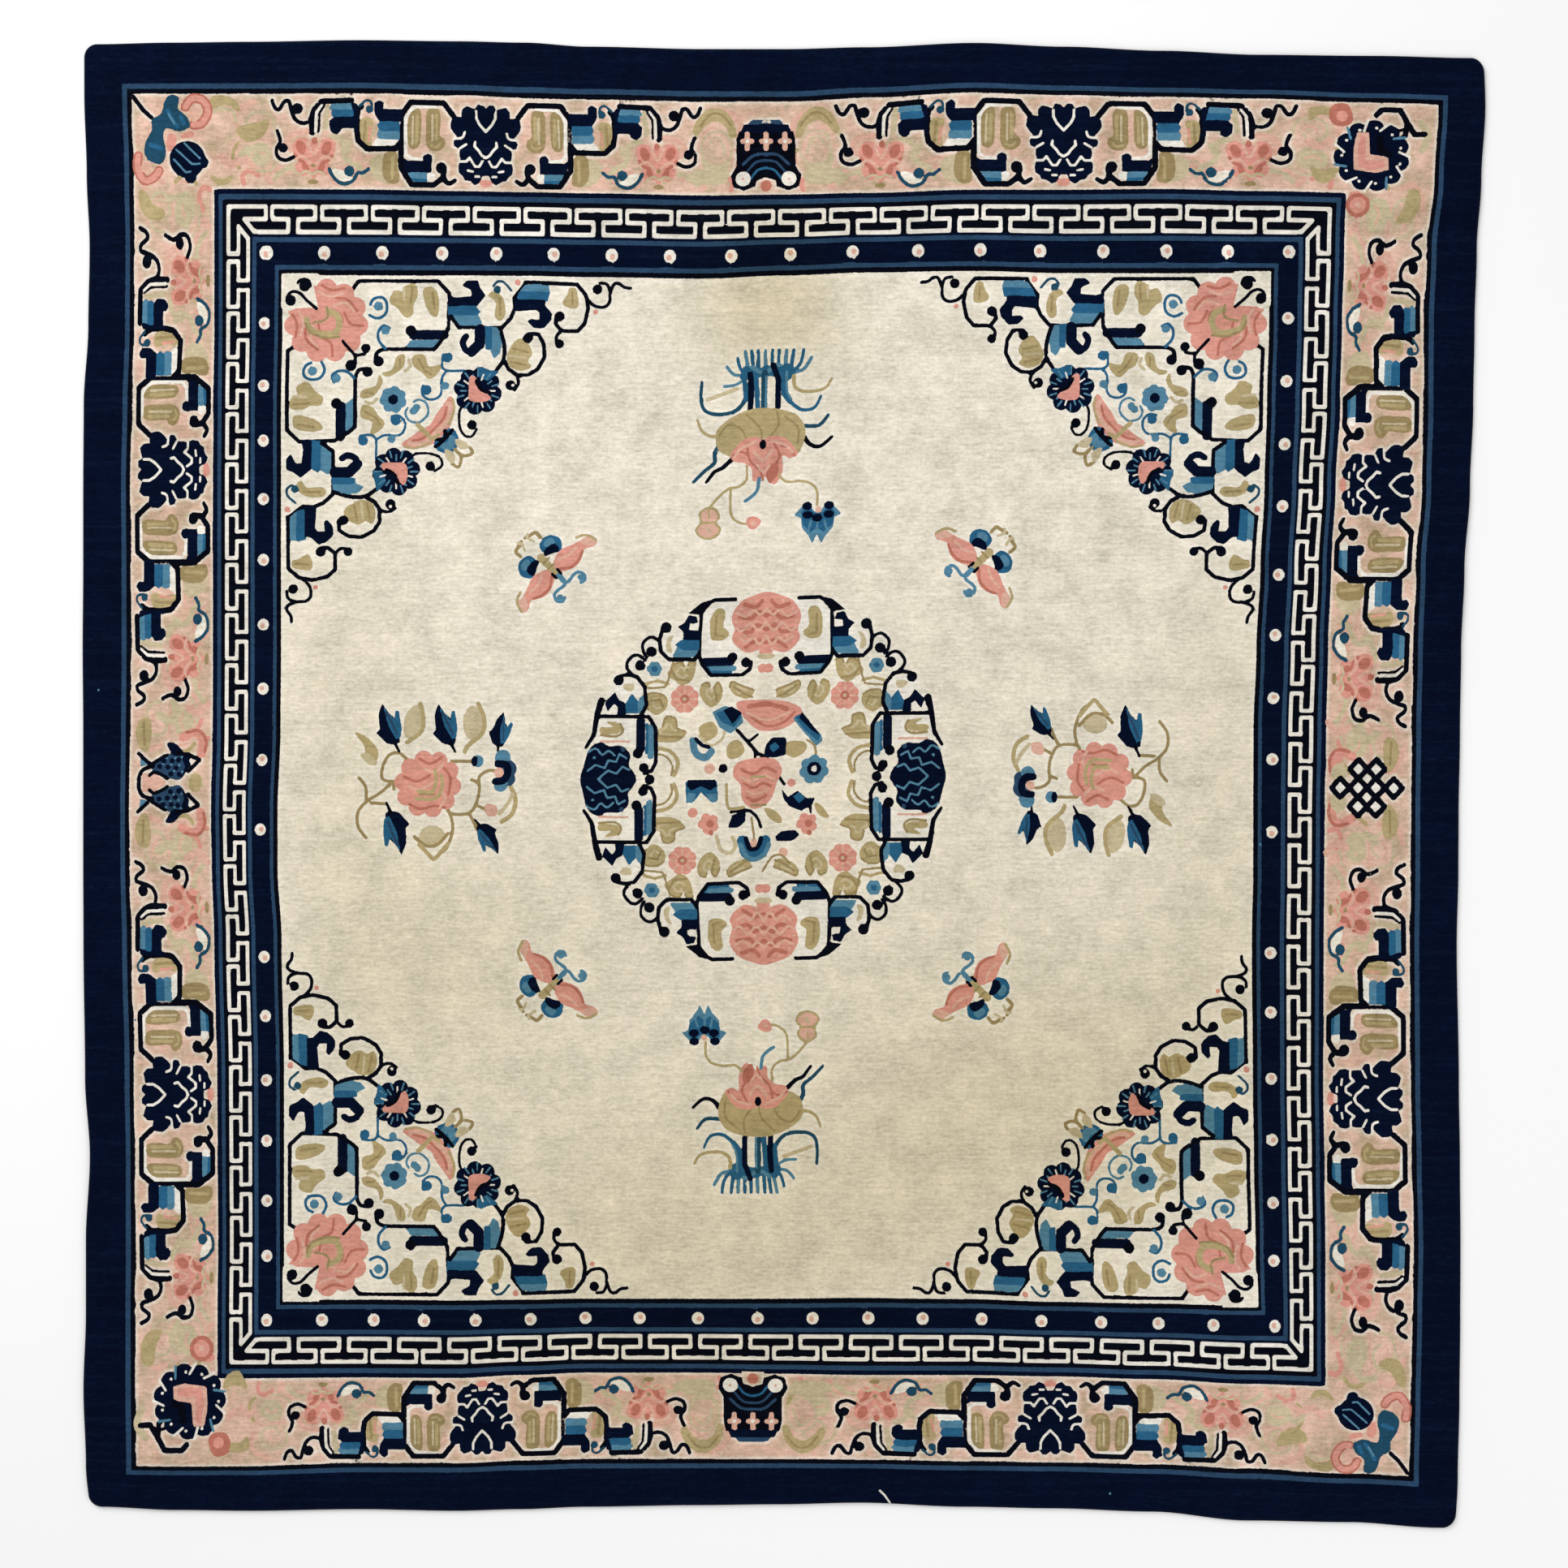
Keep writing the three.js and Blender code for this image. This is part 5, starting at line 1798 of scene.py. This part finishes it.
@dataclass(frozen=True)
class Patch:
    """A rectangle of the chart's lattice, in steps, whose surface is cut into cells: large where
    the drawing is plain, and halved again and again where large ones would misread it.
    """

    name: str
    left: int
    right: int
    low: int
    high: int

    SIZES = (16, 8, 4, 2)

    def depths(self, chart: Chart) -> Array:
        """The chart's depths on the patch."""
        return chart.depth[:, self.low : self.high + 1, self.left : self.right + 1]

    def misread(self, depth: Array, size: int, slack: float) -> Array:
        """Which cells of a size would show a wrong yarn more than slack squares from its edge.

        A cell may be cut along either diagonal, so both are tried. Inside it a depth reads
        a + (b - a) x + (d - a) y + (a - b + c - d) k with its corners a, b, c and d, anticlockwise,
        where k is the lesser of x and y for one diagonal and x + y - 1, if above 0, for the other.

        Args:
            depth: the depths on the patch.
            size: steps to a cell's side.
            slack: squares by which an outline may be off.

        Returns:
            One flag for each cell.
        """
        coarse = depth[:, ::size, None, ::size, None]
        south_west, south_east = coarse[:, :-1, :, :-1], coarse[:, :-1, :, 1:]
        north_west, north_east = coarse[:, 1:, :, :-1], coarse[:, 1:, :, 1:]
        t = np.arange(size, dtype=np.float32) / size
        right, up = t[None, None, None, None, :], t[None, None, :, None, None]
        flat = south_west + (south_east - south_west) * right + (north_west - south_west) * up
        twist = south_west - south_east + north_east - north_west
        true = depth[:, :-1, :-1].reshape(flat.shape)
        best = true.max(0)
        wrong = np.zeros(best.shape, bool)
        for share in (np.minimum(right, up), np.maximum(right + up - 1, 0)):
            shown = (flat + twist * share).argmax(0)
            wrong |= best - np.take_along_axis(true, shown[None], 0)[0] > 2 * slack
        return wrong.any((1, 3))

    def cells(self, splits: dict[int, Array]) -> tuple[Array, Array, Array]:
        """Cuts the patch: no cell meets one less than half its size.

        Args:
            splits: for each size, which cells have to be halved.

        Returns:
            Column, row and size of every cell.
        """
        for small, large in zip(self.SIZES[::-1][:-1], self.SIZES[::-1][1:]):
            grown = np.pad(splits[small], 1)
            near = np.zeros_like(splits[small])
            for down in range(3):
                for side in range(3):
                    near |= grown[down : down + near.shape[0], side : side + near.shape[1]]
            half_rows, half_columns = near.shape[0] // 2, near.shape[1] // 2
            splits[large] |= near.reshape(half_rows, 2, half_columns, 2).any((1, 3))
        found = []
        live = np.ones_like(splits[self.SIZES[0]])
        for size in self.SIZES:
            row, column = np.nonzero(live & ~splits[size])
            found.append((column * size, row * size, np.full(len(row), size)))
            live = (live & splits[size]).repeat(2, 0).repeat(2, 1)
        row, column = np.nonzero(live)
        found.append((column, row, np.ones(len(row), int)))
        return tuple(np.concatenate(part) for part in zip(*found))

    @staticmethod
    def rings(cells: tuple[Array, Array, Array], used: Array) -> tuple[Array, Array, Array]:
        """Each cell's corners, with the midpoints of sides where a smaller cell meets it.

        Args:
            cells: column, row and size of every cell.
            used: which lattice points are corners of a cell.

        Returns:
            Columns and rows of eight points a cell, anticlockwise, and which of them count.
        """
        column, row, size = cells
        half = size // 2
        columns = np.stack([column, column + half, column + size, column + size,
                            column + size, column + half, column, column], 1)
        rows = np.stack([row, row, row, row + half, row + size, row + size, row + size, row + half], 1)
        count = used[rows, columns]
        count[:, 1::2] &= (size > 1)[:, None]
        return columns, rows, count

    @staticmethod
    def marked(cells: tuple[Array, Array, Array], shape: tuple[int, int]) -> Array:
        """Which lattice points are corners of a cell."""
        column, row, size = cells
        used = np.zeros(shape, bool)
        for across in (0, 1):
            for up in (0, 1):
                used[row + up * size, column + across * size] = True
        return used

    def edge_only(self, splits: dict[int, Array]) -> dict[int, Array]:
        """The same splits along the rim, and none inside."""
        kept = {}
        for size, split in splits.items():
            rim = np.ones_like(split)
            rim[1:-1, 1:-1] = False
            kept[size] = split & rim
        return kept


@dataclass
class Sheet:
    """Builds closed meshes over patches of the chart: a fine face, a plain one, and a wall between."""

    chart: Chart
    lie: Lie
    patina: Patina

    def heights(self, u: Array, v: Array, x: Array, y: Array, pile: bool) -> Array:
        """Height of the pile's top or of the foundation's, in millimetres.

        Near the edge the pile rounds off: full height less the rest times 1 - sqrt(1 - (1 - t)^2).
        """
        lift = self.lie.lift(x, y)
        if not pile:
            return lift
        inset = np.minimum(HALF_U - np.abs(u), HALF_V - np.abs(v)) * SQUARE
        t = np.clip(inset / RIM_WIDTH, 0, 1)
        share = np.sqrt(np.clip(1 - (1 - t) ** 2, 0, 1))
        return lift + RIM_HEIGHT + (FOUNDATION + PILE - RIM_HEIGHT) * share

    def build(
        self, patch: Patch, slack: float, fine_top: bool, material: bpy.types.Material
    ) -> bpy.types.Object:
        """Makes a patch's piece.

        Args:
            patch: the part of the chart.
            slack: squares by which its outlines may be off.
            fine_top: whether the drawing is on the upper face, as on the pile.
            material: its finish.

        Returns:
            The object.
        """
        depth = patch.depths(self.chart)
        splits = {size: patch.misread(depth, size, slack) for size in patch.SIZES}
        if fine_top:
            self.keep_rim_fine(patch, splits)
        fine = patch.cells(splits)
        plain = patch.cells(patch.edge_only(splits))
        shape = depth.shape[1:]
        fine_used, plain_used = patch.marked(fine, shape), patch.marked(plain, shape)
        top, bottom = (fine, plain) if fine_top else (plain, fine)
        top_used, bottom_used = (fine_used, plain_used) if fine_top else (plain_used, fine_used)
        top_ids = np.cumsum(top_used.ravel()).reshape(shape) - 1
        bottom_ids = np.cumsum(bottom_used.ravel()).reshape(shape) - 1 + top_used.sum()
        loops, counts = [], []
        for cells, used, ids, step in ((top, top_used, top_ids, 1), (bottom, bottom_used, bottom_ids, -1)):
            columns, rows, count = patch.rings(cells, used)
            numbers = ids[rows, columns][:, ::step]
            loops.append(numbers[count[:, ::step]])
            counts.append(count.sum(1))
        for line in self.rim_lines(top_used):
            upper, lower = top_ids[line], bottom_ids[line]
            wall = np.stack([lower[:-1], lower[1:], upper[1:], upper[:-1]], 1)
            loops.append(wall.ravel())
            counts.append(np.full(len(wall), 4))
        coordinates = self.corners(patch, top_used, bottom_used, fine_top)
        return self.mesh(patch, coordinates, np.concatenate(loops), np.concatenate(counts), material,
                         np.concatenate([depth[:, top_used], depth[:, bottom_used]], 1))

    def keep_rim_fine(self, patch: Patch, splits: dict[int, Array]) -> None:
        """Splits the cells along the rug's own edge down to two steps, so that the rim rounds off."""
        for size, split in splits.items():
            if size > 2:
                reach = max(1, math.ceil(8 / size))
                split[:reach, :] |= patch.low == 0
                split[-reach:, :] |= patch.high == self.chart.ALONG
                split[:, :reach] |= patch.left == 0
                split[:, -reach:] |= patch.right == self.chart.ACROSS

    @staticmethod
    def rim_lines(used: Array) -> Iterator[tuple[Array, Array]]:
        """The used lattice points of the four sides, anticlockwise, as rows and columns."""
        last_row, last_column = used.shape[0] - 1, used.shape[1] - 1
        south, north = np.nonzero(used[0])[0], np.nonzero(used[-1])[0][::-1]
        east, west = np.nonzero(used[:, -1])[0], np.nonzero(used[:, 0])[0][::-1]
        yield np.zeros_like(south), south
        yield east, np.full_like(east, last_column)
        yield np.full_like(north, last_row), north
        yield west, np.zeros_like(west)

    def corners(self, patch: Patch, top_used: Array, bottom_used: Array, pile: bool) -> Array:
        """Places of the mesh's corners, in metres: pile on its foundation, or foundation on the floor."""
        sets = []
        for used, is_top in ((top_used, True), (bottom_used, False)):
            rows, columns = np.nonzero(used)
            u = self.chart.u[columns + patch.left].astype(np.float64)
            v = self.chart.v[rows + patch.low].astype(np.float64)
            x, y = self.lie.lay(u, v)
            base = FOUNDATION if pile != is_top else 0.0
            z = self.heights(u, v, x, y, pile and is_top) + (0.0 if pile and is_top else base)
            sets.append(np.column_stack([x, y, z]))
        return np.concatenate(sets) * METRE

    def mesh(
        self, patch: Patch, places: Array, loops: Array, counts: Array,
        material: bpy.types.Material, depth: Array,
    ) -> bpy.types.Object:
        """Writes the arrays into a Blender mesh, with the depths and the patina as attributes.

        Args:
            patch: gives the piece its name.
            places: corners, in metres.
            loops: corner numbers, face after face.
            counts: corners to a face.
            material: its finish.
            depth: the yarns' depths at every corner.

        Returns:
            The object.
        """
        mesh = bpy.data.meshes.new(patch.name)
        mesh.vertices.add(len(places))
        mesh.vertices.foreach_set("co", places.astype(np.float32).ravel())
        mesh.loops.add(len(loops))
        mesh.loops.foreach_set("vertex_index", loops.astype(np.int32))
        mesh.polygons.add(len(counts))
        starts = np.concatenate([[0], np.cumsum(counts)[:-1]])
        mesh.polygons.foreach_set("loop_start", starts.astype(np.int32))
        mesh.update(calc_edges=True)
        mesh.shade_flat()
        for group in range(len(Yarn) // 3):
            attribute = mesh.attributes.new(f"yarns_{group}", "FLOAT_VECTOR", "POINT")
            part = np.ascontiguousarray(depth[3 * group : 3 * group + 3].T, np.float32)
            attribute.data.foreach_set("vector", part.ravel())
        attribute = mesh.attributes.new("patina", "FLOAT", "POINT")
        patina = self.patina.at(places[:, 0] / METRE, places[:, 1] / METRE)
        attribute.data.foreach_set("value", patina.astype(np.float32))
        mesh.materials.append(material)
        piece = bpy.data.objects.new(patch.name, mesh)
        bpy.context.scene.collection.objects.link(piece)
        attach(piece, "root")
        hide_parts("rug")
        triangles = int((counts - 2).sum())
        LOG.info("%s: %d corners, %d triangles", patch.name, len(places), triangles)
        return piece


@dataclass(frozen=True)
class Rug:
    """The whole rug: border, field and foundation, cut from one chart."""

    strip: int = 240  # lattice steps that the border pieces are deep
    slack: float = 0.45
    back_slack: float = 2.0

    def draw(self) -> Chart:
        """Paints the chart, from the frame lines inwards."""
        chart = Chart()
        parts = (
            FrameLines(), KeyFret(), PearlBand(), Scrolls(), BorderCorners(), Vase(), SideEmblems(),
            BorderUnit(), CornerSpray(), Medallion(), Lotus(), Spray(), FieldButterfly(), StrayBits(),
        )
        for part in parts:
            part.draw(chart)
            LOG.info("drawn: %s", type(part).__name__)
        return chart

    def patches(self) -> list[Patch]:
        """The pile's pieces: four sides of the border and three strips of the field."""
        wide, long, strip = Chart.ACROSS, Chart.ALONG, self.strip
        third = (wide - 2 * strip) // 3
        return [
            Patch("pile_border_south", 0, wide, 0, strip),
            Patch("pile_border_north", 0, wide, long - strip, long),
            Patch("pile_border_west", 0, strip, strip, long - strip),
            Patch("pile_border_east", wide - strip, wide, strip, long - strip),
            Patch("pile_field_west", strip, strip + third, strip, long - strip),
            Patch("pile_field_middle", strip + third, strip + 2 * third, strip, long - strip),
            Patch("pile_field_east", strip + 2 * third, wide - strip, strip, long - strip),
        ]

    def build(self) -> None:
        """Draws the chart and makes every piece."""
        sheet = Sheet(self.draw(), Lie(), Patina())
        wool = WoolFinish("wool_pile").make()
        back = WoolFinish("knotted_back", nap=0.0006, rows=0.85).make()
        pile = [sheet.build(patch, self.slack, True, wool) for patch in self.patches()]
        whole = Patch("foundation", 0, Chart.ACROSS, 0, Chart.ALONG)
        foundation = sheet.build(whole, self.back_slack, False, back)


@dataclass(frozen=True)
class Studio:
    """The pale floor, the soft lights and the camera straight above."""

    view: float = 2.898  # metres across the picture, on the pile
    lens: float = 85.0
    sensor: float = 36.0
    floor_size: float = 14.0

    def floor(self) -> None:
        """A plain pale floor, at the rug's underside."""
        half = self.floor_size / 2
        mesh = bpy.data.meshes.new("floor")
        depth = -0.0005
        corners = [(-half, -half, depth), (half, -half, depth), (half, half, depth), (-half, half, depth)]
        mesh.from_pydata(corners, [], [(0, 1, 2, 3)])
        graph = Graph("floor_paint")
        mesh.materials.append(graph.surface(graph.add("ShaderNodeBsdfPrincipled", {
            "Base Color": (0.97, 0.97, 0.97, 1), "Roughness": 0.9, "Specular IOR Level": 0.1})))
        floor = bpy.data.objects.new("floor", mesh)
        bpy.context.scene.collection.objects.link(floor)

    def light(self, name: str, place: tuple[float, float, float], size: float, power: float) -> None:
        """A square soft light that looks at the middle of the rug."""
        lamp = bpy.data.lights.new(name, "AREA")
        lamp.shape = "SQUARE"
        lamp.size = size
        lamp.energy = power
        light = bpy.data.objects.new(name, lamp)
        light.location = place
        light.rotation_euler = (-light.location).to_track_quat("-Z", "Y").to_euler()
        bpy.context.scene.collection.objects.link(light)

    def camera(self) -> None:
        """A camera straight above, as high as its lens needs for the view."""
        lens = bpy.data.cameras.new("camera")
        lens.lens = self.lens
        lens.sensor_width = self.sensor
        camera = bpy.data.objects.new("camera", lens)
        top = (FOUNDATION + PILE) * METRE
        camera.location = (0.0, 0.0, top + self.view / self.sensor * self.lens)
        bpy.context.scene.collection.objects.link(camera)
        bpy.context.scene.camera = camera

    def build(self) -> None:
        """Sets the stage."""
        self.floor()
        self.light("key_light", (-3.0, 3.0, 5.0), 4.0, 255.0)
        self.light("fill_light", (3.5, -2.5, 5.0), 5.0, 132.0)
        world = bpy.data.worlds.new("studio")
        world.use_nodes = True
        world.node_tree.nodes["Background"].inputs[0].default_value = (1, 1, 1, 1)
        world.node_tree.nodes["Background"].inputs[1].default_value = 0.43
        bpy.context.scene.world = world
        bpy.context.scene.view_settings.view_transform = "Standard"
        self.camera()


def main() -> None:
    """Builds the rug and its stage."""
    logging.basicConfig(level=logging.INFO, format="%(name)s: %(message)s")
    Rug().build()
    Studio().build()


if __name__ == "__main__":
    main()
